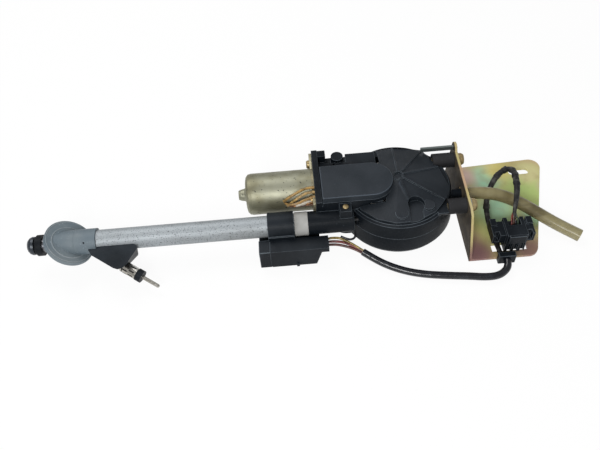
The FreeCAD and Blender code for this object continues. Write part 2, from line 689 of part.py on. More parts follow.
# Drum, its gear and the cord wound on it, on a fixed axle
drum_bottom = size("drum_bottom", 13.0)
drum_top = size("drum_top", 33.5)
drum_flange = size("drum_flange", 29.5)
flange_thickness = size("flange_thickness", 2.0)
cord_pitch = drum_side
running_gap = size("running_gap", 0.06)
groove_radius = cord_pitch - cord_radius - 0.1
axle_bore = axle_radius + running_gap
gear_bottom = size("gear_bottom", 5.5)
gear_width = size("gear_width", 5.0)
drum_web = drum_bottom + flange_thickness
keep("cord_drum", upright("cord_drum", drum_x, drum_side, [
    (gear_bottom + gear_width, axle_bore), (gear_bottom + gear_width, 9.0), (drum_bottom, 9.0),
    (drum_bottom, drum_flange), (drum_web, drum_flange), (drum_web, groove_radius),
    (drum_top - flange_thickness, groove_radius), (drum_top - flange_thickness, drum_flange),
    (drum_top, drum_flange), (drum_top, groove_radius - 3.0), (drum_web + 2.0, groove_radius - 3.0),
    (drum_web + 2.0, 9.0), (drum_top, 9.0), (drum_top, axle_bore),
]))
keep("cord_coil", upright("cord_coil", drum_x, drum_side, ring(
    drum_web + 0.5, drum_top - flange_thickness - 0.5, groove_radius, groove_radius + cord_radius * 2)))
keep("drum_axle", cylinder("drum_axle", drum_x, drum_side, base_floor / 2, axle_radius,
                           hub_height - 2.0 - base_floor / 2))

# Toothed wheels: straight-flanked teeth thinned for backlash
gear_teeth = size("gear_teeth", 70)
pinion_teeth = size("pinion_teeth", 19)
worm_radius = size("worm_radius", 3.5)


def toothed_wheel(label, teeth, x, y, bottom, width, bore, phase):
    """A spur wheel about a vertical axis, with one tooth centred at the phase angle."""
    count = int(round(teeth.value))
    pitch = tooth_module.value * teeth.value / 2
    tip, root = pitch + 0.75 * tooth_module.value, pitch - 1.15 * tooth_module.value
    tooth = math.pi * tooth_module.value
    corners = []
    for i in range(count):
        middle = math.radians(phase) + 2 * math.pi * i / count
        for share, radius in ((-0.30, root), (-0.10, tip), (0.10, tip), (0.30, root)):
            turn = middle + share * tooth / pitch
            corners.append(V(radius * math.cos(turn), radius * math.sin(turn), 0))
    face = Part.Face(Part.makePolygon(corners + corners[:1]))
    hole = Part.makeCylinder(bore.value, width.value + 2, V(0, 0, -1))
    made = doc.addObject("Part::Feature", label)
    made.Shape = face.extrude(V(0, 0, width.value)).cut(hole)
    place(made, x, y, bottom)
    return keep(label, made)


mesh_angle = math.degrees(math.atan2((wheel_side - drum_side).value, -wheel_offset.value))
toothed_wheel("drum_gear", gear_teeth, drum_x, drum_side, gear_bottom, gear_width, axle_bore, mesh_angle)
pinion_phase = mesh_angle + 180 + 180 / pinion_teeth.value
wheel_bore = wheel_axle_radius + running_gap
wheel_width = size("wheel_width", 6.0)
toothed_wheel("wheel_pinion", pinion_teeth, wheel_x, wheel_side, gear_bottom, gear_width + 0.4, wheel_bore, pinion_phase)
toothed_wheel("worm_wheel", wheel_teeth, wheel_x, wheel_side, wheel_bottom, wheel_width, wheel_bore, 90.0)
hub_start = gear_bottom + gear_width + 0.4
keep("wheel_hub", upright("wheel_hub", wheel_x, wheel_side, ring(hub_start, wheel_bottom, wheel_bore, 6.0)))
keep("wheel_axle", cylinder("wheel_axle", wheel_x, wheel_side, base_floor / 2, wheel_axle_radius,
                            block_top - 2.0 - base_floor / 2))

# Motor: a drawn steel can with magnets, and an armature whose shaft carries the worm
can_start = size("can_start", 181.0)
can_radius = size("can_radius", 17.5)
can_wall = size("can_wall", 1.2)
can_round = size("can_round", 5.0)
plate_thickness = size("plate_thickness", 2.2)
shaft_radius = size("shaft_radius", 2.0)
bush_radius = size("bush_radius", 3.4)
plate_start = block_start - plate_thickness
shaft_bore = shaft_radius + running_gap


def on_motor(label, profile):
    return turned(label, mouth, motor_side, motor_height, profile)


keep("motor_can", on_motor("motor_can", [
    (can_start - 6.5, bush_radius), (can_start - 6.5, bush_radius + 0.5), (can_start - 4.5, bush_radius + 1.3),
    (can_start - 1.5, bush_radius + 1.9), (can_start, bush_radius + 3.2),
    (can_start, can_radius - can_round), (can_start + can_round * 0.12, can_radius - can_round * 0.5),
    (can_start + can_round * 0.45, can_radius - can_round * 0.12), (can_start + can_round, can_radius),
    (plate_start, can_radius), (plate_start, can_radius - can_wall),
    (can_start + can_round, can_radius - can_wall), (can_start + can_wall, can_radius - can_round),
    (can_start + can_wall, bush_radius),
]))
keep("rear_bush", on_motor("rear_bush", ring(can_start - 6.5, can_start - 0.5, shaft_bore, bush_radius)))
plate_body = box("plate_block", (station(plate_start), motor_side - 28.5, motor_height - 11.0),
                 (station(block_start), motor_side + 28.5, motor_height + 14.0))
plate_round = cylinder("plate_round", station(plate_start), motor_side, motor_height, can_radius, plate_thickness, ALONG_X)
plate_hole = cylinder("plate_hole", station(plate_start - 1), motor_side, motor_height, bush_radius, 5.0, ALONG_X)
plate_screw_holes = [
    cylinder(f"plate_screw_hole_{i}", station(plate_start - 1), motor_side + motor_screw_side * side,
             motor_height + motor_screw_rise, motor_screw_radius, 5.0, ALONG_X)
    for i, side in enumerate((-1, 1))
]
plate_notch = cylinder("plate_notch", station(plate_start - 1), 0, mast_height, sleeve_radius + gear_gap, 5.0, ALONG_X)
keep("motor_plate", cut("motor_plate", fuse("plate_union", [plate_body, plate_round]),
                        [plate_hole, plate_notch] + plate_screw_holes))
keep("front_bush", on_motor("front_bush", ring(plate_start - 2.5, block_start, shaft_bore, bush_radius)))
shaft_end = size("shaft_end", 276.0)
keep("motor_shaft", on_motor("motor_shaft", [
    (can_start - 5.0, 0), (shaft_end, 0), (shaft_end, shaft_radius), (can_start - 5.0, shaft_radius),
]))
core_start = size("core_start", 193.0)
core_end = size("core_end", 222.0)
core_radius = size("core_radius", 12.0)
keep("armature_core", on_motor("armature_core", ring(core_start, core_end, shaft_radius, core_radius)))
keep("commutator", on_motor("commutator", ring(core_end + 1.5, core_end + 8.5, shaft_radius, 6.0)))
magnet_thickness = size("magnet_thickness", 3.2)
magnet_ring = on_motor("magnet_ring", ring(core_start - 1.0, core_end + 1.0,
                                           can_radius - can_wall - magnet_thickness, can_radius - can_wall))
magnet_gap = box("magnet_gap", (station(core_start - 2.0), motor_side - 5.0, motor_height - 20.0),
                 (station(core_end + 2.0), motor_side + 5.0, motor_height + 20.0))
keep("motor_magnets", cut("motor_magnets", magnet_ring, [magnet_gap]))
holder = on_motor("brush_disc", ring(core_end + 2.0, core_end + 8.0, 9.5, can_radius - can_wall))
brush_pair = box("brush_pair", (station(core_end + 3.5), motor_side - 2.0, motor_height - 12.0),
                 (station(core_end + 7.0), motor_side + 2.0, motor_height + 12.0))
brush_space = cylinder("brush_space", station(core_end), motor_side, motor_height, 6.0 + gear_gap, 12.0, ALONG_X)
keep("brush_holder", cut("brush_holder", fuse("brush_union", [holder, brush_pair]), [brush_space]))

# Worm: one helical thread cut to mesh with the wheel
worm_length = size("worm_length", 20.0)
lead = math.pi * tooth_module.value
worm_root = worm_radius.value - 1.1 * tooth_module.value
worm_tip = worm_radius.value + 0.7 * tooth_module.value
turns = int(worm_length.value / lead)
thread_length = turns * lead
helix = Part.makeHelix(lead, thread_length, worm_root)
half_root, half_tip = 0.25 * lead, 0.09 * lead
thread_face = Part.makePolygon([
    V(worm_root - 0.3, 0, -half_root), V(worm_tip, 0, -half_tip), V(worm_tip, 0, half_tip),
    V(worm_root - 0.3, 0, half_root), V(worm_root - 0.3, 0, -half_root),
])
thread = Part.Wire(helix).makePipeShell([thread_face], True, True)
core = Part.makeCylinder(worm_root, thread_length + 2 * half_root, V(0, 0, -half_root))
worm_hole = Part.makeCylinder(shaft_radius.value, thread_length + 20, V(0, 0, -10))
worm_shape = core.fuse(thread).cut(worm_hole)
worm = doc.addObject("Part::Feature", "worm")
worm.Shape = worm_shape
place(worm, wheel_x - thread_length / 2, motor_side, motor_height, ALONG_X * FreeCAD.Rotation(V(0, 0, 1), 90))
keep("worm", worm)

# Screws and bolts
def headed(label, x, y, z, turn, shank, reach, head, thickness):
    """A screw whose head stands out along its own X from the face at its origin."""
    return turned(label, x, y, z, [
        (-as_size(reach), 0), (thickness, 0), (thickness, head * 0.8), (thickness * 0.6, head), (0, head),
        (0, shank), (-as_size(reach), shank),
    ], turn)


LEFTWARDS = FreeCAD.Rotation(V(0, 0, 1), 180)
motor_screw_pair = [
    headed(f"motor_screw_{i}", station(plate_start), motor_side + motor_screw_side * side,
           motor_height + motor_screw_rise, LEFTWARDS, motor_screw_radius, motor_screw_depth + plate_thickness, motor_screw_radius * 2, 2.6)
    for i, side in enumerate((-1, 1))
]
keep("motor_screws", fuse("motor_screws", motor_screw_pair))
keep("housing_screw", headed("housing_screw", station(boss_station), boss_side, boss_top, UPRIGHT,
                             screw_radius, 7.0, screw_radius * 1.65, 1.3))

# Foot bracket: one bent steel sheet, a flange across the mast and a slanted foot plate with slots
sheet_thickness = size("sheet_thickness", 2.5)
fold_station = size("fold_station", 359.0)
foot_near = size("foot_near", -34.0)
foot_far = size("foot_far", 66.0)
foot_near_end = size("foot_near_end", 415.5)
foot_far_end = size("foot_far_end", 446.5)
flange_height = size("flange_height", 43.0)
foot_skew = size("foot_skew", 4.5)
corner_radius = size("corner_radius", 9.0)
slot_station = size("slot_station", 423.0)
slot_far = size("slot_far", 56.5)
window_near = size("window_near", -28.0)
window_far = size("window_far", -20.5)
slot_length = size("slot_length", 18.0)
slot_width = size("slot_width", 6.5)
fold_x = station(fold_station)
foot = prism("foot_plate", 0, 0, 0, sheet_thickness, [
    (fold_x, foot_near), (station(foot_near_end), foot_near), (station(foot_far_end), foot_far + foot_skew),
    (fold_x, foot_far),
])
flange = new_body("foot_flange", fold_x, 0, 0)
flange_sketch = sketch_on(flange, "YZ_Plane", "flange_outline")
polygon(flange_sketch, [
    (foot_near, 0), (foot_far, 0), (foot_far - 3.0, flange_height * 0.45), (foot_far - 6.5, flange_height),
    (foot_far - 8.0, flange_height + 3.0), (foot_far - 11.5, flange_height + 4.3),
    (foot_far - 15.0, flange_height + 3.2), (foot_far - 17.0, flange_height), (foot_near + 22.0, flange_height - 1.5),
    (foot_near + 16.5, flange_height - 4.5), (foot_near + 1.0, 5.0),
])
feature(flange, "Pad", flange_sketch, sheet_thickness)


def slot(name, x, y):
    """A slot along X through the foot plate."""
    half = (slot_length - slot_width) / 2
    ends = [cylinder(f"{name}_end_{i}", x + half * side, y, -1.0, slot_width / 2, 5.0) for i, side in enumerate((-1, 1))]
    middle = box(f"{name}_middle", (x - half, y - slot_width / 2, -1.0), (x + half, y + slot_width / 2, 4.0))
    return fuse(name, ends + [middle])


foot_window = box("foot_window", (station(379.5), window_near, -1.0), (station(408.5), window_far, 5.0))
bolt_radius = size("bolt_radius", 3.0)
bolt_holes = [
    cylinder(f"bolt_hole_{i}", fold_x - 5.0, side, bolt_height, bolt_radius + 0.25, 12.0, ALONG_X)
    for i, side in enumerate((near_bolt, far_bolt))
]
hose_radius = size("hose_radius", 5.2)
hose_hole = cylinder("hose_hole", fold_x - 5.0, spigot_side, spigot_height, hose_radius + 0.8, 12.0, ALONG_X)
bracket_union = fuse("bracket_union", [foot, flange])


def foot_corner(edge):
    """True for the two upright edges at the foot plate's outer corners."""
    upright_edge = abs(edge.BoundBox.ZLength - sheet_thickness.value) < 0.01 and edge.BoundBox.XLength < 0.01
    return upright_edge and edge.BoundBox.YLength < 0.01 and edge.BoundBox.XMin > fold_x.value + 20


bracket_round = rounded("bracket_round", bracket_union, corner_radius, foot_corner)
keep("foot_bracket", cut("foot_bracket", bracket_round, [
    slot("far_slot", station(slot_station), slot_far), foot_window,
    hose_hole,
] + bolt_holes))

# Rubber standoffs, washers and bolts that hold the bracket to the drum housing
standoff_starts = (near_standoff_start, far_standoff_start)
washer_thickness = size("washer_thickness", 1.2)
washer_radius = size("washer_radius", 6.0)
bolt_head = size("bolt_head", 5.2)
bolt_head_height = size("bolt_head_height", 4.6)
for label, side, start in zip(("near", "far"), (near_bolt, far_bolt), standoff_starts):
    keep(f"{label}_standoff", turned(f"{label}_standoff", mouth, side, bolt_height, ring(
        start, fold_station, bolt_radius, standoff_radius)))
washers, bolts = [], []
for index, (side, start) in enumerate(zip((near_bolt, far_bolt), standoff_starts)):
    washers.append(turned(f"washer_{index}", fold_x + sheet_thickness, side, bolt_height, ring(
        0, washer_thickness, bolt_radius, washer_radius)))
    bolts.append(headed(f"bolt_{index}", fold_x + sheet_thickness + washer_thickness, side, bolt_height, None,
                        bolt_radius, fold_station - start + sheet_thickness + washer_thickness,
                        bolt_head, bolt_head_height))
keep("bolt_washers", fuse("bolt_washers", washers))
keep("bracket_bolts", fuse("bracket_bolts", bolts))

# Stay: a flat bar along the far side of the housing to the bracket
stay_start = size("stay_start", 331.0)
stay_thickness = size("stay_thickness", 2.0)
stay_bottom = size("stay_bottom", 41.0)
stay_height = size("stay_height", 3.8)
stay_side = size("stay_side", 53.5)
keep("stay_strip", box("stay_strip", (station(stay_start), stay_side, stay_bottom),
                       (fold_x, stay_side + stay_thickness, stay_bottom + stay_height)))

# Relay box under the tube: a body, a push-on end cap, a circuit board and a clamp round the tube
relay_start = size("relay_start", 189.0)
relay_seam = size("relay_seam", 198.5)
relay_end = size("relay_end", 246.0)
relay_near = size("relay_near", -23.5)
relay_far = size("relay_far", 7.0)
relay_drop = size("relay_drop", 4.5)
relay_top = mast_height - relay_drop
relay_gap = size("relay_gap", 12.0)
relay_step = mast_height - relay_gap
relay_wall = size("relay_wall", 1.5)
relay_neck = size("relay_neck", -10.6)
relay_cut = size("relay_cut", 8.0)
relay_ledge = size("relay_ledge", 15.5)


def relay_profile(inset):
    """The relay box's cross-section: low under the tube, high beside it."""
    return [
        (relay_near + inset, inset), (relay_far - inset, inset), (relay_far - inset, relay_step - inset),
        (relay_neck + 2.0 - inset, relay_step - inset), (relay_neck - inset, relay_top - inset),
        (relay_near + inset, relay_top - inset),
    ]


def relay_part(name, start, end, inset):
    body = new_body(name, station(start), 0, 0)
    sketch = sketch_on(body, "YZ_Plane", f"{name}_section")
    polygon(sketch, relay_profile(as_size(inset)))
    feature(body, "Pad", sketch, as_size(end) - start)
    return body


relay_solid = relay_part("relay_solid", relay_seam, relay_end, 0)
relay_hollow = relay_part("relay_hollow", relay_seam - 1, relay_end - relay_cut - relay_wall * 2, relay_wall)
bevel = new_body("relay_bevel", station(relay_end), 0, 0)
bevel_sketch = sketch_on(bevel, "XZ_Plane", "relay_bevel_outline", -20.0)
polygon(bevel_sketch, [
    (-relay_cut - 2.5, -1.0), (-relay_cut - 2.5, 0), (-relay_cut + 2.0, relay_ledge), (1.0, relay_ledge), (1.0, -1.0),
])
feature(bevel, "Pad", bevel_sketch, 60.0)
relay_nub = cylinder("relay_nub", station(220.0), relay_near + 1.0, 0.2, 1.3, 2.6)
nub_out = box("relay_nub_out", (station(218.8), relay_near - 1.4, 0.2), (station(221.2), relay_near + 1.0, 2.8))
keep("relay_body", cut("relay_body", fuse("relay_union", [relay_solid, relay_nub, nub_out]), [relay_hollow, bevel]))
cap_solid = relay_part("cap_solid", relay_start, relay_seam - seat_gap, 0)
cap_hollow = relay_part("cap_hollow", relay_start + relay_wall, relay_seam + 1, relay_wall)
keep("relay_cap", cut("relay_cap", cap_solid, [cap_hollow]))
keep("relay_board", box("relay_board", (station(relay_start + 3.0), relay_near + 4.0, relay_wall + seat_gap),
                        (station(relay_end - relay_cut - relay_wall * 2 - seat_gap), relay_far - 3.0, relay_wall + 1.6)))
clamp_start = size("clamp_start", 197.5)
clamp_end = size("clamp_end", 219.0)
clamp_wall = size("clamp_wall", 2.3)
clamp_near = size("clamp_near", -12.4)
clamp_ring = turned("clamp_ring", mouth, 0, mast_height, ring(
    clamp_start, clamp_end, tube_radius, tube_radius + clamp_wall))
clamp_foot = box("clamp_foot", (station(clamp_start), clamp_near, relay_top),
                 (station(clamp_end), -6.0, mast_height))
clamp_tube = cylinder("clamp_tube", station(clamp_start - 2), 0, mast_height, tube_radius + seat_gap, 26.0, ALONG_X)
keep("relay_clamp", cut("relay_clamp", fuse("clamp_union", [clamp_ring, clamp_foot]), [clamp_tube]))

# Connector: a moulded socket on a clip at the foot plate's near edge
connector_start = size("connector_start", 377.5)
connector_end = size("connector_end", 411.5)
connector_near = size("connector_near", -31.0)
connector_far = size("connector_far", -12.5)
connector_bottom = size("connector_bottom", 12.5)
connector_top = size("connector_top", 25.0)
socket_start = size("socket_start", 388.0)
socket_end = size("socket_end", 404.5)
latch_start = size("latch_start", 389.0)
latch_width = size("latch_width", 13.5)
socket_base = size("socket_base", 3.2)
wide_part = box("connector_wide", (station(connector_start), connector_near + 4.0, connector_bottom),
                (station(connector_end), connector_far, connector_top - 2.5))
tall_part = box("connector_tall", (station(socket_start), connector_near + 1.0, socket_base),
                (station(socket_end), connector_far + 1.5, connector_top))
ear_left = box("ear_left", (station(connector_start), connector_far - 5.0, connector_bottom),
               (station(connector_start + 5.0), connector_far + 2.0, connector_top - 1.0))
ear_right = box("ear_right", (station(connector_end - 5.0), connector_far - 5.0, connector_bottom),
                (station(connector_end), connector_far + 2.0, connector_top - 1.0))
side_notch = box("side_notch", (station(connector_start + 2.2), connector_near, connector_bottom + 2.0),
                 (station(connector_start + 5.4), connector_near + 8.0, connector_top))
far_notch = box("far_notch", (station(connector_end - 5.4), connector_near, connector_bottom + 2.0),
                (station(connector_end - 2.2), connector_near + 8.0, connector_top))
entry = box("loom_entry", (station(socket_start + 3.2), connector_far - 6.5, connector_top - 5.0),
            (station(socket_end - 3.2), connector_far + 2.0, connector_top + 1.0))
rib_gaps = [
    box(f"rib_gap_{i}", (station(socket_start + 2.3 + 5.3 * i), connector_near, socket_base - 1.0),
        (station(socket_start + 5.3 + 5.3 * i), connector_near + 3.2, connector_bottom + 3.0))
    for i in range(3)
]
keep("connector_body", cut("connector_body", fuse("connector_union", [
    wide_part, tall_part, ear_left, ear_right,
]), [side_notch, far_notch, entry] + rib_gaps))
keep("connector_latch", box("connector_latch", (station(latch_start), connector_near - 1.4, connector_top - 7.5),
                            (station(latch_start + latch_width), connector_near + 1.0, connector_top + 1.2)))
keep("connector_leg", box("connector_leg", (station(socket_start + 3.0), connector_far - 8.0, sheet_thickness),
                          (station(socket_end - 3.0), connector_far - 2.0, socket_base)))
clip_station = size("clip_station", 388.5)
clip_width = size("clip_width", 14.0)
cable_radius = size("cable_radius", 3.2)
harness_radius = size("harness_radius", 2.7)
grommet = box("grommet_block", (station(clip_station - clip_width / 2), foot_near - 5.0, 0.2),
              (station(clip_station + clip_width / 2), foot_near - seat_gap, 10.0))
keep("cable_clip", grommet)


# Cords: straight runs joined by tangent arcs
def cord_shape(label, points, radius, thinnest):
    """A round cord along a route of points, with its bends as large as the runs allow."""
    route = [V(x, y, z) for x, y, z in points]
    edges, here, bends = [], route[0], []
    for before, corner, after in zip(route, route[1:], route[2:]):
        into, out = corner - before, after - corner
        turn = into.getAngle(out)
        trim = 0.45 * min(into.Length, out.Length)
        bend = trim / math.tan(turn / 2)
        bends.append(bend)
        into.normalize()
        out.normalize()
        enter, leave = corner - into * trim, corner + out * trim
        inward = (out - into).normalize()
        centre = corner + inward * math.hypot(bend, trim)
        middle = centre + (corner - centre).normalize() * bend
        edges.append(Part.LineSegment(here, enter).toShape())
        edges.append(Part.Arc(enter, middle, leave).toShape())
        here = leave
    edges.append(Part.LineSegment(here, route[-1]).toShape())
    path = Part.Wire(edges)
    start = (route[1] - route[0]).normalize()
    section = Part.Wire(Part.makeCircle(radius.value, route[0], start))
    shape = path.makePipeShell([section], True, False)
    expected = math.pi * radius.value ** 2 * path.Length
    print(f"{label}: length {path.Length:.1f} mm, tightest bend {min(bends):.1f} mm "
          f"({min(bends) / radius.value / 2:.1f} diameters), volume {shape.Volume / expected:.4f} of expected")
    if min(bends) < thinnest * radius.value * 2:
        raise ValueError(f"{label} bends too tightly")
    return shape


def cords(label, routes, radius, thinnest):
    """One node of cords, each along its own route."""
    shapes = [cord_shape(label, points, radius, thinnest) for points in routes]
    made = doc.addObject("Part::Feature", label)
    made.Shape = shapes[0] if len(shapes) == 1 else Part.makeCompound(shapes)
    return keep(label, made)


def from_mouth(points):
    """Route points given with stations from the mast's tip."""
    return [(mouth.value + x, y, z) for x, y, z in points]


cords("drain_hose", [from_mouth([
    (365.2, 16.5, 26.5), (377.0, 16.2, 26.4), (392.0, 13.4, 24.6), (407.5, 7.6, 19.8),
    (422.5, -0.8, 13.4), (437.5, -10.7, 8.2), (453.0, -21.5, 5.7),
])], hose_radius, 3)
cords("supply_cable", [from_mouth([
    (273.5, -21.5, 8.5), (281.0, -27.0, 6.5), (291.5, -33.8, 4.6), (305.5, -40.6, 3.7), (321.0, -45.2, 3.5),
    (338.5, -48.0, 3.5), (355.5, -50.2, 3.5), (369.0, -52.6, 3.6), (379.0, -52.2, 3.8), (385.8, -48.0, 4.6),
    (388.5, -42.8, 5.3), (388.5, -39.05, 5.3),
])], cable_radius, 0.8)
cords("harness_loop", [from_mouth([
    (384.5, -33.9, 5.4), (384.5, -29.2, 5.4), (383.4, -20.0, 5.6), (382.2, -8.0, 6.0), (382.0, 6.0, 8.0),
    (383.6, 18.0, 11.0), (388.5, 29.0, 16.0), (396.0, 38.0, 21.5), (404.0, 40.8, 26.0), (407.6, 34.0, 30.5),
    (406.2, 23.0, 33.2), (404.0, 11.0, 34.0), (400.4, -0.5, 33.0), (397.6, -8.2, 30.0), (396.6, -13.0, 26.0),
    (396.4, -15.4, 22.2),
])], harness_radius, 0.7)

# Short wires between the relay box and the cable, and from the motor to the gearbox
wire_radius = size("wire_radius", 1.1)
cords("relay_wires", [from_mouth([
    (246.1, -12.6, 14.2), (251.0, -12.6, 14.2), (258.0, -13.6, 13.4), (265.5, -16.6, 11.2), (272.4, -20.8, 9.9),
]), from_mouth([
    (246.1, -13.0, 10.4), (251.5, -13.0, 10.4), (258.5, -14.6, 9.6), (266.0, -17.8, 8.4), (272.4, -21.2, 7.5),
])], wire_radius, 3)
cords("motor_leads", [from_mouth([
    (212.0, 16.0, 36.0), (217.0, 16.4, 40.0), (224.5, 19.0, 42.8), (231.0, 22.0, 43.6), (238.1, 22.0, 43.6),
]), from_mouth([
    (215.0, 13.6, 33.0), (220.0, 13.0, 38.4), (226.5, 14.8, 42.4), (232.0, 17.0, 43.6), (238.1, 17.0, 43.6),
])], wire_radius, 3)

doc.recompute()

# Every object has to be whole before any piece is written
for item in doc.Objects:
    if "Invalid" in item.State or "Error" in item.State:
        raise ValueError(f"{item.Label} failed: {item.State}")
os.makedirs("parts", exist_ok=True)
for label, item in nodes.items():
    shape = item.Shape
    if shape.isNull() or not shape.isValid():
        raise ValueError(f"{label} has no valid shape")
    print(f"{label}: {len(shape.Solids)} solids, {shape.Volume:.0f} mm3")
    shape.exportStep(f"parts/{label}.step")
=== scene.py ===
import json
import math

import bpy
from mathutils import Matrix, Vector

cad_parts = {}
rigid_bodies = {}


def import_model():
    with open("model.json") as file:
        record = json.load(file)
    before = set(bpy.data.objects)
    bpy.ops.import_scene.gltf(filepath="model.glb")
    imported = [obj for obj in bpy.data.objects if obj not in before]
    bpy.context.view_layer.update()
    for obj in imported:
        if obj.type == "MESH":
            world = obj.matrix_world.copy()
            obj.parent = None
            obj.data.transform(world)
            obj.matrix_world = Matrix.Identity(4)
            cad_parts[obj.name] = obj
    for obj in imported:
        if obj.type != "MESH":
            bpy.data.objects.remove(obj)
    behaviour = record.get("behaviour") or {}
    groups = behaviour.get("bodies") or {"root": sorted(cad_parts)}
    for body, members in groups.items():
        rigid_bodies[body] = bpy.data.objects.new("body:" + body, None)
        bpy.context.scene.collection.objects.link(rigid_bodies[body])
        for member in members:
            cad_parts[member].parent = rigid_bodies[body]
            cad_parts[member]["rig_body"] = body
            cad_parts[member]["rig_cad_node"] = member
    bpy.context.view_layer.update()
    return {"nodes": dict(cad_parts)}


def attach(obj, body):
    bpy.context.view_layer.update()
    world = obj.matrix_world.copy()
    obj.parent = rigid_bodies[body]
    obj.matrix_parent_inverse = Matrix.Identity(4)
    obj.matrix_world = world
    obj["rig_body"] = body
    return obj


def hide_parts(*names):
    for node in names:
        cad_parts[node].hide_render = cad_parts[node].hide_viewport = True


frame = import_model()
bpy.ops.object.select_all(action="DESELECT")


# Camera: it looks down on the aerial from the mast's near side, 52 degrees above the floor,
# with the horizon a little tilted, as the photograph was taken.
TILT = math.radians(52.0)
ROLL = math.radians(4.76)
FOCAL_MM = 41.1
SENSOR_MM = 36.0
FRAME_SHIFT = -0.002
NEAREST_SEEN = 0.01
CAMERA_PLACE = (-0.171, -0.3460, 0.4679)
level_right = Vector((1, 0, 0))
level_up = Vector((0, math.sin(TILT), math.cos(TILT)))
looking = Vector((0, math.cos(TILT), -math.sin(TILT)))
camera_right = level_right * math.cos(ROLL) - level_up * math.sin(ROLL)
camera_up = level_right * math.sin(ROLL) + level_up * math.cos(ROLL)
bpy.ops.object.camera_add(location=CAMERA_PLACE)
camera = bpy.context.object
camera.matrix_world = Matrix.Translation(camera.location) @ Matrix(
    (camera_right, camera_up, -looking)
).transposed().to_4x4()
camera.data.sensor_width = SENSOR_MM
camera.data.lens = FOCAL_MM
camera.data.shift_y = FRAME_SHIFT
camera.data.clip_start = NEAREST_SEEN
bpy.context.scene.camera = camera


# Maths on shader sockets is written as plain expressions, and any other node comes from
# one method, so that each finish below reads like a recipe.
class Socket:
    """A shader value that takes part in plain arithmetic."""

    def __init__(self, finish, socket):
        self.finish = finish
        self.socket = socket

    def maths(self, operation, other, swapped=False):
        first, second = (other, self) if swapped else (self, other)
        return self.finish.node("ShaderNodeMath", {"operation": operation}, {0: first, 1: second})

    def __add__(self, other):
        return self.maths("ADD", other)

    def __sub__(self, other):
        return self.maths("SUBTRACT", other)

    def __rsub__(self, other):
        return self.maths("SUBTRACT", other, swapped=True)

    def __mul__(self, other):
        return self.maths("MULTIPLY", other)

    __radd__ = __add__
    __rmul__ = __mul__


class Finish:
    """One material: a principled surface whose sockets take values, colours or patterns."""

    def __init__(self, name, **fixed):
        self.material = bpy.data.materials.new(name)
        self.material.use_nodes = True
        self.tree = self.material.node_tree
        self.surface = self.tree.nodes["Principled BSDF"]
        for socket, value in fixed.items():
            self.set(socket.replace("_", " "), value)

    def node(self, kind, settings, inputs, output=0):
        """Adds one node: settings first, then the values or links of its sockets."""
        made = self.tree.nodes.new(kind)
        for key, value in settings.items():
            if key == "stops":
                ramp = made.color_ramp
                while len(ramp.elements) < len(value):
                    ramp.elements.new(0.5)
                for stop, (place, tone) in zip(ramp.elements, value):
                    stop.position = place
                    stop.color = (*tone, 1.0)
            else:
                setattr(made, key, value)
        for key, value in inputs.items():
            if isinstance(value, Socket):
                self.tree.links.new(value.socket, made.inputs[key])
            elif isinstance(value, (tuple, list)) and len(value) == 3 and made.inputs[key].type == "RGBA":
                made.inputs[key].default_value = (*value, 1.0)
            else:
                made.inputs[key].default_value = value
        return Socket(self, made.outputs[output])

    def set(self, name, value):
        """Links or sets one socket of the surface."""
        if isinstance(value, Socket):
            self.tree.links.new(value.socket, self.surface.inputs[name])
        elif isinstance(value, (tuple, list)):
            self.surface.inputs[name].default_value = (*value, 1.0)
        else:
            self.surface.inputs[name].default_value = value

    def noise(self, scale, detail=3.0, stretch=(1, 1, 1), shift=0.0):
        """Cloudy variation of a given fineness, on the object's own coordinates."""
        place = self.node("ShaderNodeTexCoord", {}, {}, "Object")
        moved = self.node("ShaderNodeMapping", {},
                          {"Vector": place, "Scale": stretch, "Location": (shift, shift, shift)})
        return self.node("ShaderNodeTexNoise", {}, {"Vector": moved, "Scale": scale, "Detail": detail}, "Fac")

    def ramp(self, factor, *stops):
        """Colours along a factor, each stop given as its place and tone."""
        return self.node("ShaderNodeValToRGB", {"stops": stops}, {"Fac": factor})

    def mask(self, factor, low, high):
        """0 below low, 1 above high, and smooth between."""
        return self.node("ShaderNodeMapRange", {"interpolation_type": "SMOOTHSTEP", "clamp": True},
                         {"Value": factor, "From Min": low, "From Max": high})

    def blend(self, factor, first, second):
        """A mix of two colours."""
        made = self.tree.nodes.new("ShaderNodeMix")
        made.data_type = "RGBA"
        for index, value in ((0, factor), (6, first), (7, second)):
            if isinstance(value, Socket):
                self.tree.links.new(value.socket, made.inputs[index])
            elif isinstance(value, (tuple, list)):
                made.inputs[index].default_value = (*value, 1.0)
            else:
                made.inputs[index].default_value = value
        return Socket(self, made.outputs[2])

    def spot(self, place_mm, reach_mm):
        """How near a point of the surface is to a place: 1 there, 0 at its reach."""
        place = self.node("ShaderNodeTexCoord", {}, {}, "Object")
        there = tuple(value / 1000 for value in place_mm)
        far = self.node("ShaderNodeVectorMath", {"operation": "DISTANCE"}, {0: place, 1: there}, "Value")
        return self.mask(far, reach_mm / 1000, 0.0)

    def bump(self, height, depth_mm):
        """Relief in the surface, its depth in millimetres."""
        self.set("Normal", self.node("ShaderNodeBump", {}, {"Height": height, "Distance": depth_mm / 1000}))


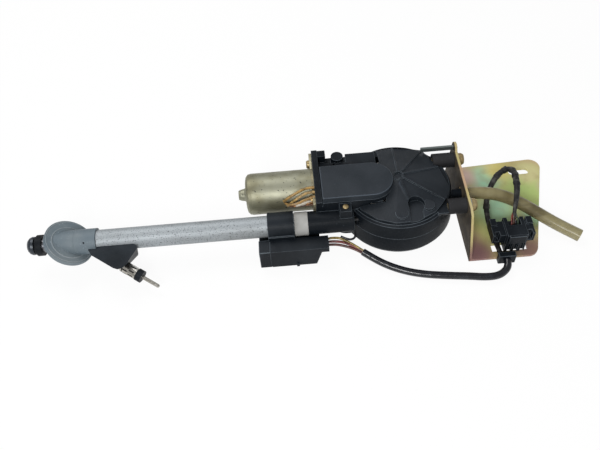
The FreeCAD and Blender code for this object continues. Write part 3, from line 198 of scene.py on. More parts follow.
# Floor: a plain sheet of pale paper under the aerial. It glows almost white to the camera, and
# keeps a faint shadow of what lies on it.
FLOOR_WIDTH = 6
FLOOR_DROP = 0.0004
WHITE_SHARE = 0.93
bpy.ops.mesh.primitive_grid_add(x_subdivisions=4, y_subdivisions=4, size=FLOOR_WIDTH,
                                location=(0, 0, -FLOOR_DROP))
floor = bpy.context.object
floor.name = "floor"
paper = Finish("pale_paper", Base_Color=(0.9, 0.9, 0.9), Roughness=0.9)
rays = paper.tree.nodes.new("ShaderNodeLightPath")
seen = (Socket(paper, rays.outputs["Is Camera Ray"]) + Socket(paper, rays.outputs["Is Glossy Ray"])
        + Socket(paper, rays.outputs["Is Transmission Ray"]))
glow = paper.node("ShaderNodeEmission", {}, {"Color": (1.0, 1.0, 1.0), "Strength": 1.0})
faint = paper.node("ShaderNodeMixShader", {},
                   {0: seen * WHITE_SHARE, 1: Socket(paper, paper.surface.outputs[0]), 2: glow})
paper.tree.links.new(faint.socket, paper.tree.nodes["Material Output"].inputs["Surface"])
floor.data.materials.append(paper.material)


# Light: a soft white room with two square lamps, a window on the near side and a weaker lamp
# above the far side.
ROOM_LIGHT = 0.4
LAMP_AIM = Vector((-0.1, 0, 0))
world = bpy.data.worlds.new("studio")
bpy.context.scene.world = world
world.use_nodes = True
world.node_tree.nodes["Background"].inputs["Color"].default_value = (1.0, 1.0, 1.0, 1.0)
world.node_tree.nodes["Background"].inputs["Strength"].default_value = ROOM_LIGHT
LAMPS = [
    ("window_lamp", (-0.40, -0.80, 0.70), 0.36, 7.0),
    ("room_lamp", (-0.50, 0.50, 0.95), 0.6, 5.5),
]
for name, spot, width, power in LAMPS:
    bpy.ops.object.light_add(type="AREA", location=spot)
    lamp = bpy.context.object
    lamp.name = name
    lamp.data.size = width
    lamp.data.energy = power
    lamp.rotation_euler = (LAMP_AIM - Vector(spot)).to_track_quat("-Z", "Y").to_euler()
bpy.context.scene.view_settings.view_transform = "Standard"


# Supply cable: a glossy black vinyl sleeve over the loom's wires, lying on the floor from the
# relay wires to the clip on the foot plate. It is drawn a hair thinner than it measures.
MOUTH_MM = -395.0
DRAWN_SLEEVE_MM = 6.1


def route(points):
    """Points given in millimetres, with stations from the mast's tip, in metres."""
    return [((MOUTH_MM + x) / 1000, y / 1000, z / 1000) for x, y, z in points]


def laid_cord(name, points, diameter_mm, swells=None):
    """A round cord on a smooth line through its route, each point carrying the cord's own radius."""
    curve = bpy.data.curves.new(name, "CURVE")
    curve.dimensions = "3D"
    line = curve.splines.new("NURBS")
    line.points.add(len(points) - 1)
    for index, (point, place) in enumerate(zip(line.points, route(points))):
        point.co = (*place, 1.0)
        point.radius = diameter_mm / 2000 * (swells[index] if swells else 1.0)
    line.order_u = 3
    line.use_endpoint_u = True
    line.resolution_u = 12
    curve.bevel_depth = 1.0
    curve.bevel_resolution = 5
    curve.use_fill_caps = True
    piece = bpy.data.objects.new(name, curve)
    bpy.context.scene.collection.objects.link(piece)
    return piece


def line_points(piece):
    """The points of a cord's own line, as its spline runs."""
    curve = piece.data
    depth, caps = curve.bevel_depth, curve.use_fill_caps
    curve.bevel_depth, curve.use_fill_caps = 0.0, False
    bpy.context.view_layer.update()
    line = bpy.data.meshes.new_from_object(piece)
    curve.bevel_depth, curve.use_fill_caps = depth, caps
    bpy.context.view_layer.update()
    spots = [vertex.co.copy() for vertex in line.vertices]
    bpy.data.meshes.remove(line)
    return spots


def own_length(spots):
    return sum((b - a).length for a, b in zip(spots, spots[1:]))


cable_route = [
    (273.5, -21.5, 8.5), (281.0, -27.0, 6.5), (291.5, -33.8, 4.6), (305.5, -40.6, 3.7), (321.0, -45.2, 3.5),
    (338.5, -48.0, 3.5), (355.5, -50.2, 3.5), (369.0, -52.6, 3.6), (379.0, -52.2, 3.8), (385.8, -48.0, 4.6),
    (388.5, -42.8, 5.3), (388.5, -39.05, 5.3),
]
cable = laid_cord("supply_cable_sleeve", cable_route, DRAWN_SLEEVE_MM)
sleeve_finish = Finish("black_vinyl_sleeve", Roughness=0.25, Specular_IOR_Level=0.5)
sleeve_wear = sleeve_finish.mask(sleeve_finish.noise(160.0, 4.0), 0.5, 0.72)
sleeve_tone = sleeve_finish.blend(sleeve_wear, (0.005, 0.006, 0.009), (0.014, 0.017, 0.022))
sleeve_finish.set("Base Color", sleeve_tone)
sleeve_finish.bump(sleeve_finish.noise(140.0, 2.0), 0.4)
cable.data.materials.append(sleeve_finish.material)
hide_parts("supply_cable")
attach(cable, "aerial_frame")
route(cable_route)[0]
own_length(line_points(cable))


# Harness loop: the loom's wires wrapped by hand in cloth tape, from the clip, under the drain
# hose, over it again and down into the connector. The tape ends before the connector.
HARNESS_MM = 5.0
harness_route = [
    (384.5, -33.9, 5.4), (384.5, -29.2, 5.4), (383.4, -20.0, 5.6), (382.2, -8.0, 6.0), (382.0, 6.0, 8.0),
    (383.6, 18.0, 11.0), (388.5, 29.0, 16.0), (396.0, 38.0, 21.5), (404.0, 40.8, 26.0), (407.6, 34.0, 30.5),
    (406.2, 23.0, 33.2), (404.0, 11.0, 34.0), (400.4, -0.5, 33.0), (397.6, -8.2, 30.0), (396.6, -13.0, 26.0),
    (396.4, -15.4, 22.2),
]
HARNESS_SWELLS = [0.8, 0.8, 0.85, 0.9, 0.85, 1.0, 0.9, 1.05, 0.85, 0.95, 1.06, 1.0, 0.85, 0.62, 0.5, 0.5]
harness = laid_cord("harness_tape", harness_route, HARNESS_MM, HARNESS_SWELLS)
tape = Finish("loom_tape", Specular_IOR_Level=0.3)
tape_worn = tape.mask(tape.noise(150.0, 4.0), 0.46, 0.66)
tape.set("Base Color", tape.blend(tape_worn, (0.010, 0.010, 0.011), (0.060, 0.060, 0.055)))
tape.set("Roughness", 0.42 + 0.3 * tape.noise(150.0, shift=3.0))
tape.bump(tape.noise(330.0, 4.0), 1.2)
harness.data.materials.append(tape.material)
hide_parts("harness_loop")
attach(harness, "aerial_frame")
harness_line = line_points(harness)
route(harness_route)[0]


# Tape turns: short collars of the same cloth tape, wound a little crookedly over the loom.
# Each is given its place as a share of the loop and its radius in millimetres.
TAPE_WIDTH = 0.0046
TAPE_EDGE = 0.0006


def turned_to(place, direction):
    """The matrix that stands a piece made along +Z at a place, looking in a direction."""
    return Matrix.Translation(place) @ direction.to_track_quat("Z", "Y").to_matrix().to_4x4()


TAPE_TURNS = [(0.30, 2.75), (0.36, 2.7), (0.47, 2.75), (0.53, 2.85), (0.60, 2.75), (0.66, 2.9), (0.72, 2.85)]
for number, (share, radius_mm) in enumerate(TAPE_TURNS):
    at = int(share * (len(harness_line) - 2))
    spot, ahead = harness_line[at], harness_line[at + 1] - harness_line[at]
    bpy.ops.mesh.primitive_cylinder_add(vertices=20, radius=radius_mm / 1000, depth=TAPE_WIDTH,
                                        end_fill_type="NGON")
    turn = bpy.context.object
    turn.name = f"tape_turn_{number + 1}"
    lean = Vector((0.12 * (-1) ** number, 0.1, 0.08))
    turn.matrix_world = turned_to(spot, ahead.normalized() + lean)
    bpy.ops.object.transform_apply(location=True, rotation=True, scale=True)
    edge = turn.modifiers.new("soft_edge", "BEVEL")
    edge.width = TAPE_EDGE
    edge.segments = 2
    edge.angle_limit = math.radians(40)
    bpy.ops.object.modifier_apply(modifier=edge.name)
    bpy.ops.object.shade_smooth_by_angle(angle=math.radians(50))
    turn.data.materials.append(tape.material)
    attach(turn, "aerial_frame")


# Drain hose: aged clear vinyl, straw-coloured and cloudy, with dirt dried on inside and an
# open cut end. It carries rain water out of the drum housing through the bracket's flange.
HOSE_MM = 10.4
HOSE_WALL_MM = 1.6
hose_route = [
    (365.2, 16.5, 26.5), (377.0, 16.2, 26.4), (392.0, 13.4, 24.6), (407.5, 7.6, 19.8),
    (422.5, -0.8, 13.4), (437.5, -10.7, 8.2), (453.0, -21.5, 5.7),
]
hose = laid_cord("drain_hose_wall", hose_route, HOSE_MM)
hose_path = line_points(hose)
hose.data.use_fill_caps = False
bpy.ops.object.select_all(action="DESELECT")
hose.select_set(True)
bpy.context.view_layer.objects.active = hose
bpy.ops.object.convert(target="MESH")
wall = hose.modifiers.new("wall", "SOLIDIFY")
wall.thickness = HOSE_WALL_MM / 1000
wall.offset = -1.0
wall.use_rim = True
bpy.ops.object.modifier_apply(modifier=wall.name)
bpy.ops.object.mode_set(mode="EDIT")
bpy.ops.mesh.select_all(action="SELECT")
bpy.ops.mesh.normals_make_consistent(inside=False)
bpy.ops.object.mode_set(mode="OBJECT")
bpy.ops.object.shade_smooth_by_angle(angle=math.radians(40))
vinyl = Finish("straw_vinyl", Roughness=0.28, Transmission_Weight=0.35, IOR=1.45, Specular_IOR_Level=0.45)
cloud = vinyl.noise(55.0, 4.0)
straw = vinyl.ramp(cloud, (0.3, (0.20, 0.165, 0.075)), (0.5, (0.34, 0.295, 0.15)),
                   (0.75, (0.46, 0.42, 0.25)))
dirt = vinyl.mask(vinyl.noise(75.0, 5.0, (0.35, 1, 1), 9.0), 0.56, 0.68)
vinyl.set("Base Color", vinyl.blend(dirt * 0.7, straw, (0.13, 0.105, 0.05)))
vinyl.bump(vinyl.noise(300.0, 2.0), 0.12)
hose.data.materials.append(vinyl.material)
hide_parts("drain_hose")
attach(hose, "aerial_frame")
route(hose_route)[0]


# Short wires: vinyl-covered copper from the relay box into the sleeve, a black earth wire, and
# the ochre leads looped beside the motor.
def short_wire(name, tone, diameter_mm, points, node=None):
    """A thin insulated wire, its colour slightly faded in patches."""
    wire = laid_cord(name, points, diameter_mm)
    wire.data.bevel_resolution = 3
    cover = Finish(f"{name}_cover", Roughness=0.35)
    faded = cover.mask(cover.noise(240.0, 3.0), 0.4, 0.65)
    cover.set("Base Color", cover.blend(faded, tone, tuple(c * 0.45 for c in tone)))
    cover.bump(cover.noise(500.0, 2.0), 0.2)
    wire.data.materials.append(cover.material)
    if node:
        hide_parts(node)
    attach(wire, "aerial_frame")
    return wire


WIRES = [
    ("relay_wire_red", (0.14, 0.020, 0.018), 2.2, "relay_wires",
     [(246.1, -12.6, 14.2), (251.0, -12.6, 14.2), (258.0, -13.6, 13.4), (265.5, -16.4, 11.4),
      (272.0, -20.2, 9.6), (278.0, -24.6, 7.6)]),
    ("relay_wire_brown", (0.10, 0.030, 0.022), 2.2, "relay_wires",
     [(246.1, -13.0, 10.4), (251.5, -13.0, 10.4), (258.5, -14.6, 9.6), (266.0, -17.6, 8.8),
      (272.0, -21.2, 7.8), (278.0, -25.4, 6.4)]),
    ("relay_wire_yellow", (0.34, 0.24, 0.05), 2.0, None,
     [(245.6, -10.0, 14.8), (248.0, -9.9, 15.3), (251.5, -9.8, 15.0), (255.0, -10.0, 14.6),
      (258.5, -11.8, 14.2), (263.5, -14.2, 12.8), (270.0, -18.6, 10.9), (277.0, -23.4, 8.4)]),
    ("earth_wire_black", (0.012, 0.013, 0.016), 1.9, None,
     [(256.5, -9.6, 16.0), (260.5, -11.6, 15.0), (265.0, -12.6, 14.2), (268.6, -10.4, 14.4),
      (268.6, -6.6, 15.6), (267.4, -3.6, 17.6)]),
    ("motor_lead_upper", (0.38, 0.23, 0.065), 2.2, "motor_leads",
     [(212.0, 16.0, 36.0), (217.0, 16.4, 40.0), (224.5, 19.0, 42.8), (231.0, 22.0, 43.6),
      (238.1, 22.0, 43.6)]),
    ("motor_lead_lower", (0.42, 0.27, 0.09), 2.2, "motor_leads",
     [(215.0, 13.6, 33.0), (220.0, 13.0, 38.4), (226.5, 14.8, 42.4), (232.0, 17.0, 43.6),
      (238.1, 17.0, 43.6)]),
    ("motor_lead_loop", (0.36, 0.21, 0.065), 2.0, None,
     [(238.0, 13.6, 41.5), (231.0, 12.4, 41.0), (223.0, 9.0, 40.0), (216.8, 9.4, 38.6),
      (214.4, 12.6, 36.5), (213.4, 15.6, 34.0)]),
    ("motor_lead_dark", (0.13, 0.05, 0.02), 1.8, None,
     [(238.0, 10.2, 36.4), (232.0, 9.9, 36.4), (226.0, 9.7, 36.4), (220.5, 10.3, 35.4),
      (217.0, 12.6, 33.6)]),
    ("motor_lead_sleeve", (0.50, 0.46, 0.38), 3.0, None,
     [(238.0, 12.4, 38.4), (232.5, 11.4, 38.6), (227.0, 10.0, 38.4), (221.8, 9.6, 37.4)]),
]
for name, tone, diameter_mm, node, points in WIRES:
    short_wire(name, tone, diameter_mm, points, node)


# Connector cores: thin wires that leave the tape one beside another and enter the connector's
# top. Each is given its station there, and how much higher than the others it runs.
CORE_MM = 1.3
TAPE_END_STATION = 397.0
CORES = [
    ("core_red", (0.16, 0.018, 0.012), 394.6, -0.6), ("core_brown", (0.09, 0.035, 0.02), 396.2, 0.3),
    ("core_black", (0.010, 0.010, 0.012), 397.8, -0.3), ("core_green", (0.03, 0.05, 0.03), 399.6, 0.5),
]
for name, tone, x, rise in CORES:
    spread = x - TAPE_END_STATION
    short_wire(name, tone, CORE_MM, [
        (397.4 + spread * 0.2, -8.6, 29.6 + rise), (396.6 + spread * 0.6, -11.4, 27.8 + rise),
        (x, -14.2, 25.2 + rise), (x, -16.4, 22.8), (x, -17.2, 20.8)])


# Terminal tails: bare copper ends that stick out beside the motor, where its leads are joined.
# They are short and bent by hand.
COPPER = (0.42, 0.20, 0.07)
TAIL_MM = 1.2
TERMINAL_TAILS = [
    ("terminal_tail_1", [(230.0, 10.0, 37.6), (231.6, 8.9, 38.8), (234.0, 9.6, 39.2), (235.6, 11.0, 38.0)]),
    ("terminal_tail_2", [(220.6, 8.8, 36.8), (222.4, 9.8, 38.2), (224.6, 9.0, 38.4), (226.8, 10.2, 37.4)]),
]
for name, points in TERMINAL_TAILS:
    short_wire(name, COPPER, TAIL_MM, points)


# Mast tube: drawn alloy tube, dull from years in the wing, with small dark pits and faint
# marks along its length. The sections inside it are chromed brass.
def dressed(node, finish):
    """Gives a CAD node a finish in place of its plain colour."""
    mesh = frame["nodes"][node].data
    mesh.materials.clear()
    mesh.materials.append(finish.material)


def aged_metal(name, clean, stained, roughness, metallic=1.0, stretch=(1, 1, 1), pits=0.72,
               pit_size=900.0):
    """Bare or plated metal with clouded stains and small dark pits."""
    finish = Finish(name)
    stains = finish.mask(finish.noise(45.0, 5.0, stretch), 0.42, 0.68)
    dots = finish.mask(finish.noise(pit_size, 2.0, shift=5.0), pits, pits + 0.05)
    clouded = finish.blend(stains, clean, stained)
    finish.set("Base Color", finish.blend(dots, clouded, tuple(c * 0.12 for c in stained)))
    finish.set("Roughness", roughness + 0.18 * finish.noise(130.0, 3.0, stretch, 2.0))
    finish.set("Metallic", metallic - 0.6 * dots)
    finish.bump(finish.noise(500.0, 3.0, stretch), 0.06)
    return finish


tube_alloy = aged_metal("dull_alloy", (0.34, 0.37, 0.39), (0.225, 0.24, 0.245), 0.46, 0.4,
                        stretch=(0.25, 1, 1), pits=0.60, pit_size=1300.0)
dressed("guide_tube", tube_alloy)
bright_chrome = aged_metal("bright_chrome", (0.72, 0.72, 0.73), (0.55, 0.55, 0.56), 0.12,
                           stretch=(0.3, 1, 1), pits=0.78)
for node in ("mast_section_1", "mast_section_2", "mast_section_3", "mast_rod"):
    dressed(node, bright_chrome)


# Tip, nut and stub: the mast's rounded tip of dark polished metal, the blackened round nut that
# clamps the head to the wing, and the bare threaded stub between them.
tip_metal = aged_metal("tip_metal", (0.030, 0.038, 0.048), (0.012, 0.016, 0.021), 0.26, 0.35)
dressed("mast_tip_cap", tip_metal)
nut_black = aged_metal("blackened_nut", (0.004, 0.005, 0.006), (0.009, 0.011, 0.014), 0.4, 0.1)
nut_black.set("Specular IOR Level", 0.12)
dressed("mast_nut", nut_black)
stub_metal = aged_metal("stub_metal", (0.55, 0.56, 0.57), (0.22, 0.23, 0.25), 0.22)
dressed("threaded_stub", stub_metal)


# Mounting head: the grey-blue nylon seat that holds the mast in the wing, moulded in one piece
# with its slanted disc, and dusty and scuffed from years outside.
def moulding(name, tone, dust, roughness, grain=0.12, dusting=(0.5, 0.78), sheen=0.3, edge_highlight=0.0):
    """Moulded plastic: fine grain, dust in clouds with upward faces made a little lighter as painted top
    light, and a painted highlight on rounded edges when asked for.
    """
    finish = Finish(name, Specular_IOR_Level=sheen)
    facing = finish.node("ShaderNodeTexCoord", {}, {}, "Normal")
    upward = finish.node("ShaderNodeSeparateXYZ", {}, {"Vector": facing}, "Z")
    # Dust in clouds, pushed towards upward faces so that tops are lighter and sides darker: partly real dust,
    # partly painted top light.
    dust_and_top_light = finish.mask(finish.noise(28.0, 5.0) + 0.12 * upward, dusting[0], dusting[1])
    specks = finish.mask(finish.noise(1100.0, 2.0, shift=4.0), 0.67, 0.73)
    dusted_and_painted_light = finish.blend(dust_and_top_light, tone, dust)
    # When given, faces that lean between upward and sideways, the rounded edges, are lightened towards a pale
    # tone: a painted highlight band.
    if edge_highlight:
        highlight_band = finish.mask(upward, 0.25, 0.5) - finish.mask(upward, 0.8, 0.97)
        dusted_and_painted_light = finish.blend(highlight_band * edge_highlight, dusted_and_painted_light, tuple(c * 2.6 for c in dust))
    pale_speck = tuple(min(c * 2.4, 0.5) for c in dust)
    finish.set("Base Color", finish.blend(specks * 0.6, dusted_and_painted_light, pale_speck))
    finish.set("Roughness", roughness + 0.2 * finish.noise(90.0, 4.0, shift=1.0))
    finish.bump(finish.noise(1300.0, 2.0), grain)
    return finish


head_plastic = moulding("grey_nylon", (0.115, 0.150, 0.175), (0.165, 0.195, 0.21), 0.42, sheen=0.35)
black_plastic = moulding("black_moulding", (0.0050, 0.0072, 0.0100), (0.016, 0.020, 0.025), 0.33,
                         sheen=0.11)
white_nylon = moulding("white_nylon", (0.62, 0.62, 0.60), (0.50, 0.49, 0.46), 0.4)
MERGE_REACH = 0.000002
SMOOTH_ANGLE = math.radians(34)
SHARP_ANGLE = math.radians(30)


def softened(node, body, finish, width_mm, flats=True, highlight_finish=None):
    """A moulded or pressed copy of a CAD node, its sharp edges rounded off, the rounded faces perhaps given a
    second, lighter finish as a painted edge highlight.
    """
    bpy.ops.object.select_all(action="DESELECT")
    source = frame["nodes"][node]
    source.select_set(True)
    bpy.context.view_layer.objects.active = source
    bpy.ops.object.duplicate()
    piece = bpy.context.object
    piece.name = f"{node}_form"
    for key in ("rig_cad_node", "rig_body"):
        if key in piece:
            del piece[key]
    bpy.ops.object.mode_set(mode="EDIT")
    bpy.ops.mesh.select_all(action="SELECT")
    bpy.ops.mesh.remove_doubles(threshold=MERGE_REACH)
    bpy.ops.mesh.dissolve_limited(angle_limit=math.radians(0.6 if flats else 0.05))
    bpy.ops.object.mode_set(mode="OBJECT")
    bpy.ops.object.shade_smooth_by_angle(angle=SMOOTH_ANGLE)
    rounding = piece.modifiers.new("rounding", "BEVEL")
    rounding.width = width_mm / 1000
    rounding.segments = 2
    rounding.limit_method = "ANGLE"
    rounding.angle_limit = SHARP_ANGLE
    rounding.use_clamp_overlap = flats
    rounding.harden_normals = True
    piece.data.materials.clear()
    piece.data.materials.append(finish.material)
    if highlight_finish:
        piece.data.materials.append(highlight_finish.material)
        rounding.material = 1
    bpy.ops.object.modifier_apply(modifier=rounding.name)
    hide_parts(node)
    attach(piece, body)
    return piece


softened("mounting_head", "aerial_frame", head_plastic, 0.7)


# Head's rings: the low round shoulder where the barrel meets the disc, the scuffed line near
# the disc's rim, and the seam of the barrel's end.
disc_normal = Vector((0.559, 0.0, 0.829))
scuffed_edge = moulding("scuffed_nylon", (0.19, 0.225, 0.245), (0.24, 0.265, 0.28), 0.5, sheen=0.35)
HEAD_RINGS = [
    ("head_shoulder", (35.0, -0.9, 26.5), disc_normal, 14.6, 0.55, scuffed_edge),
    ("head_rim_line", (35.0, 0.0, 26.6), disc_normal, 19.3, 0.40, scuffed_edge),
    ("barrel_seam", (40.4, 0.0, 25.0), Vector((1, 0, 0)), 10.28, 0.42, head_plastic),
]
for name, place, along, major_mm, minor_mm, finish in HEAD_RINGS:
    bpy.ops.mesh.primitive_torus_add(major_segments=72, minor_segments=10, location=(0, 0, 0),
                                     major_radius=major_mm / 1000, minor_radius=minor_mm / 1000)
    ring = bpy.context.object
    ring.name = name
    ring.matrix_world = turned_to(route([place])[0], along)
    bpy.ops.object.transform_apply(location=True, rotation=True, scale=True)
    bpy.ops.object.shade_smooth()
    ring.data.materials.append(finish.material)
    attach(ring, "aerial_frame")


# Head's peg: a small dark locking pin, pressed into the barrel so that only its round end
# shows.
PIN_PLACE_MM = (48.9, -7.0, 32.5)
PIN_RADIUS = 0.0008
bpy.ops.mesh.primitive_uv_sphere_add(segments=14, ring_count=8, radius=PIN_RADIUS,
                                     location=route([PIN_PLACE_MM])[0])
peg = bpy.context.object
peg.name = "head_locking_pin"
bpy.ops.object.transform_apply(location=True, rotation=True, scale=True)
bpy.ops.object.shade_smooth()
peg.data.materials.append(black_plastic.material)
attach(peg, "aerial_frame")


# Black mouldings: plug boot, relay box and its cap, clamp, gearbox, lid, drum shells and the
# connector, all of glass-filled nylon that has gone slightly grey with dust.
# The lid's and the drum cover's finishes paint a pale highlight band on their rounded edges.
lid_plastic = moulding("dusty_lid_with_painted_highlight", (0.0145, 0.0195, 0.0255), (0.026, 0.032, 0.040), 0.42,
                       grain=0.15, dusting=(0.4, 0.75), sheen=0.2, edge_highlight=0.9)
cover_plastic = moulding("dusty_cover_with_painted_highlight", (0.0075, 0.0108, 0.0148), (0.018, 0.0225, 0.0285), 0.34,
                         grain=0.15, dusting=(0.42, 0.75), sheen=0.24, edge_highlight=0.5)
boot_plastic = moulding("soft_boot", (0.0045, 0.0080, 0.0120), (0.013, 0.019, 0.026), 0.32, sheen=0.10)
# A lighter finish for the bevelled faces of the black mouldings: a painted highlight along their edges.
highlight_edge_plastic = moulding("painted_edge_highlight", (0.016, 0.020, 0.025), (0.075, 0.090, 0.105), 0.30,
                        grain=0.1, dusting=(0.38, 0.66), sheen=0.2)
BLACK_MOULDINGS = [
    ("plug_boot", 1.6, boot_plastic, True), ("relay_clamp", 0.3, black_plastic, False),
    ("relay_body", 0.6, black_plastic, True), ("relay_cap", 0.6, black_plastic, True),
    ("gear_housing", 0.25, black_plastic, False), ("gearbox_lid", 0.5, lid_plastic, True),
    ("drum_base", 0.25, black_plastic, False), ("drum_cover", 0.18, cover_plastic, False),
    ("connector_body", 0.5, black_plastic, True), ("connector_latch", 0.4, black_plastic, True),
    ("cable_clip", 0.6, black_plastic, True),
]
for node, width_mm, finish, flats in BLACK_MOULDINGS:
    softened(node, "aerial_frame", finish, width_mm, flats, highlight_edge_plastic)
for node in ("connector_leg", "brush_holder"):
    dressed(node, black_plastic)


# Tube collar: a pale nylon ring round the mast tube, between the relay clamp and the gearbox's
# sleeve.
collar_grey = moulding("collar_nylon", (0.36, 0.36, 0.345), (0.20, 0.195, 0.18), 0.4, dusting=(0.4, 0.62))
softened("tube_collar", "aerial_frame", collar_grey, 0.3, False)


# Gears, drum and cord: the worm wheel, its pinion and the drum with its gear are moulded of
# natural nylon. The cord and its liner are dark with grease.
for node in ("worm_wheel", "wheel_pinion", "wheel_hub", "cord_drum", "drum_gear"):
    dressed(node, white_nylon)
cord_nylon = moulding("greased_cord_nylon", (0.016, 0.016, 0.017), (0.032, 0.031, 0.029), 0.3)
for node in ("mast_liner", "cord_coil", "mast_cord"):
    dressed(node, cord_nylon)
dressed("plug_insulator", black_plastic)


# Coaxial plug: nickel-plated brass, bright but tarnished in its grooves. The ferrule is a
# sprung sleeve with two rows of slots, swaged over the insulator.
nickel = aged_metal("tarnished_nickel", (0.66, 0.64, 0.60), (0.36, 0.34, 0.30), 0.16)
groove_black = aged_metal("ferrule_grooves", (0.045, 0.042, 0.038), (0.02, 0.019, 0.018), 0.5, 0.5)
for node in ("plug_collar", "plug_pin"):
    dressed(node, nickel)
PLUG_YAW, PLUG_DIP = math.radians(-31.3), math.radians(14.0)
PLUG_START_MM = (76.0, -19.7, 16.5)
FERRULE_RADIUS, FERRULE_LENGTH, FERRULE_MIDDLE = 0.00488, 0.0138, 0.0092
WAIST, LOWER_SLOTS, UPPER_SLOTS = (0.0036, 0.0045), (0.0045, 0.0088), (0.0098, 0.0146)
SLOT_INSET, SLOT_DEPTH = 0.00012, 0.0006
FERRULE_SIDES = 48
plug_axis = Vector((math.cos(PLUG_YAW) * math.cos(PLUG_DIP), math.sin(PLUG_YAW) * math.cos(PLUG_DIP),
                    -math.sin(PLUG_DIP)))
plug_start = Vector(route([PLUG_START_MM])[0])
bpy.ops.mesh.primitive_cylinder_add(vertices=FERRULE_SIDES, radius=FERRULE_RADIUS, depth=FERRULE_LENGTH,
                                    end_fill_type="NGON", location=(0, 0, FERRULE_MIDDLE))
ferrule = bpy.context.object
ferrule.name = "ferrule_sleeve"
bpy.ops.object.transform_apply(location=True, rotation=True, scale=True)
bpy.ops.object.mode_set(mode="EDIT")
for height in sorted({*WAIST, *LOWER_SLOTS, *UPPER_SLOTS}):
    bpy.ops.mesh.select_all(action="SELECT")
    bpy.ops.mesh.bisect(plane_co=(0, 0, height), plane_no=(0, 0, 1))
bpy.ops.mesh.select_all(action="DESELECT")
bpy.ops.object.mode_set(mode="OBJECT")
ferrule.data.materials.append(nickel.material)
ferrule.data.materials.append(groove_black.material)
for face in ferrule.data.polygons:
    centre = face.center
    side = int((math.degrees(math.atan2(centre.y, centre.x)) % 360) / (360 / FERRULE_SIDES))
    lower_slot = LOWER_SLOTS[0] < centre.z < LOWER_SLOTS[1] and side % 6 in (0, 1)
    upper_slot = UPPER_SLOTS[0] < centre.z < UPPER_SLOTS[1] and side % 6 in (3, 4)
    waist = WAIST[0] < centre.z < WAIST[1]
    face.select = abs(face.normal.z) < 0.5 and (lower_slot or upper_slot or waist)
    if face.select:
        face.material_index = 1
bpy.ops.object.mode_set(mode="EDIT")
bpy.ops.mesh.select_mode(type="FACE")
bpy.ops.mesh.inset(thickness=SLOT_INSET, depth=-SLOT_DEPTH)
bpy.ops.object.mode_set(mode="OBJECT")
ferrule.matrix_world = turned_to(plug_start, plug_axis)
bpy.ops.object.transform_apply(location=True, rotation=True, scale=True)
bpy.ops.object.shade_smooth_by_angle(angle=math.radians(25))
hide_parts("plug_ferrule")
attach(ferrule, "aerial_frame")


# Motor: a deep-drawn can, zinc plated and passivated to a dull olive, with its end plate
# screwed to the gearbox.
olive_zinc = aged_metal("olive_zinc", (0.31, 0.31, 0.235), (0.21, 0.20, 0.13), 0.40, 0.7,
                        pits=0.66, pit_size=480.0)
dressed("motor_can", olive_zinc)
dressed("rear_bush", olive_zinc)
gold_zinc = aged_metal("gold_zinc", (0.46, 0.36, 0.19), (0.26, 0.18, 0.08), 0.32, 0.85)
plate_zinc = aged_metal("plate_zinc", (0.34, 0.32, 0.22), (0.20, 0.17, 0.10), 0.34, 0.8, pits=0.64)
softened("motor_plate", "aerial_frame", plate_zinc, 0.3)
dressed("motor_screws", gold_zinc)


# Inner metal and board: plain steel shafts, worm, core and washers, the bush and commutator, the
# motor's ferrite magnets and the green board of the relay box.
plain_steel = aged_metal("plain_steel", (0.50, 0.50, 0.50), (0.36, 0.35, 0.33), 0.3)
for node in ("motor_shaft", "drum_axle", "wheel_axle", "worm", "armature_core", "bolt_washers"):
    dressed(node, plain_steel)
for node in ("front_bush", "commutator"):
    dressed(node, gold_zinc)
ferrite = moulding("ferrite", (0.05, 0.05, 0.05), (0.09, 0.09, 0.09), 0.5)
dressed("motor_magnets", ferrite)
board_green = moulding("circuit_board", (0.03, 0.13, 0.05), (0.05, 0.17, 0.08), 0.3)
dressed("relay_board", board_green)


# Housing screw: a small brass-yellow pan-head screw in the square boss beside the lid. Its head
# is plain, without the recess.
softened("housing_screw", "aerial_frame", gold_zinc, 0.2, False)
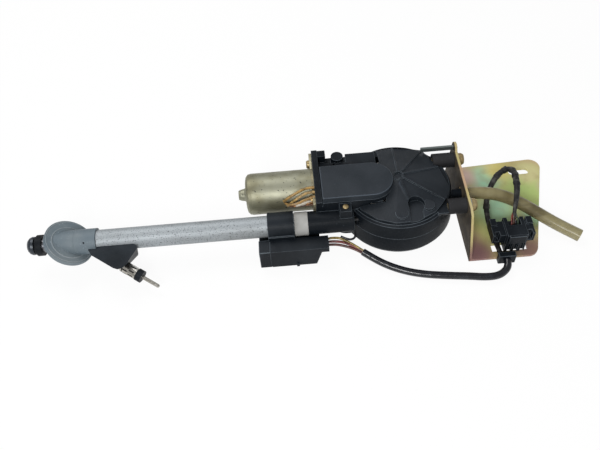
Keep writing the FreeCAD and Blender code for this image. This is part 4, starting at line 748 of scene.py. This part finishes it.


# Foot bracket: pressed steel, zinc plated and yellow passivated, so that its colour drifts
# from green at the middle of the foot to gold and pink at its edges. The flange's outer face,
# turned to the drum housing, is painted dark brown as painted shade.
FLANGE_OUTER_FACE = (-0.0352, -0.0358)
zinc = Finish("passivated_zinc", Specular_IOR_Level=0.25)
wander = zinc.noise(24.0, 5.0)
plate = zinc.ramp(wander, (0.35, (0.56, 0.38, 0.24)), (0.5, (0.54, 0.46, 0.20)),
                  (0.68, (0.56, 0.42, 0.28)))
DRIFTS = [
    ((30.0, 34.0, 0.0), 46.0, (0.46, 0.58, 0.20)), ((0.0, 2.0, 0.0), 50.0, (0.46, 0.52, 0.18)),
    ((-4.0, 52.0, 0.0), 27.0, (0.38, 0.64, 0.44)), ((-1.0, 16.0, 0.0), 29.0, (0.38, 0.60, 0.40)),
    ((27.0, 6.0, 0.0), 20.0, (0.42, 0.62, 0.38)), ((11.0, 60.0, 0.0), 24.0, (0.66, 0.58, 0.20)),
    ((36.0, 54.0, 0.0), 22.0, (0.64, 0.60, 0.30)), ((-22.0, 56.0, 0.0), 22.0, (0.60, 0.45, 0.40)),
    ((50.0, 36.0, 0.0), 20.0, (0.62, 0.42, 0.40)), ((48.0, -10.0, 0.0), 24.0, (0.56, 0.38, 0.32)),
    ((-28.0, -29.0, 0.0), 28.0, (0.26, 0.14, 0.14)), ((14.0, -31.0, 0.0), 27.0, (0.32, 0.19, 0.16)),
]
for place_mm, reach_mm, tone in DRIFTS:
    near = zinc.spot(place_mm, reach_mm) + 0.9 * zinc.noise(30.0, 5.0, shift=place_mm[0] / 7)
    plate = zinc.blend(zinc.mask(near, 0.5, 1.45), plate, tone)
smears = zinc.mask(zinc.noise(75.0, 5.0, shift=7.0), 0.5, 0.72)
stained = zinc.blend(smears * 0.35, plate, (0.34, 0.24, 0.12))
place = zinc.node("ShaderNodeTexCoord", {}, {}, "Object")
along = zinc.node("ShaderNodeSeparateXYZ", {}, {"Vector": place}, "X")
# Painted shade: the flange's outer face, turned to the drum housing, is darkened to brown.
shaded_flange_face = zinc.mask(along, *FLANGE_OUTER_FACE)
flange_shade_mottle = zinc.mask(zinc.noise(60.0, 4.0), 0.4, 0.65)
painted_flange_shade = zinc.blend(flange_shade_mottle, (0.026, 0.020, 0.013), (0.070, 0.055, 0.036))
zinc.set("Base Color", zinc.blend(shaded_flange_face, stained, painted_flange_shade))
zinc.set("Metallic", 0.22 - 0.2 * shaded_flange_face)
zinc.set("Roughness", 0.36 + 0.2 * zinc.noise(80.0, 4.0, shift=2.0) + 0.25 * shaded_flange_face)
zinc.bump(zinc.noise(400.0, 3.0), 0.08)
softened("foot_bracket", "aerial_frame", zinc, 0.4)
softened("bracket_bolts", "aerial_frame", gold_zinc, 0.3)


# Stay strip: a short flat bar of grey steel on the far side, above the far standoff, from the
# drum's housing to the bracket's flange.
stay_metal = aged_metal("stay_metal", (0.20, 0.23, 0.225), (0.10, 0.12, 0.12), 0.4, 0.8, (0.2, 1, 1))
dressed("stay_strip", stay_metal)


# Standoffs: two black rubber cylinders that keep the housing off the bracket's flange and take
# up the motor's hum.
rubber = moulding("black_rubber", (0.009, 0.009, 0.010), (0.02, 0.02, 0.022), 0.62)
for node in ("near_standoff", "far_standoff"):
    softened(node, "aerial_frame", rubber, 0.3, False)
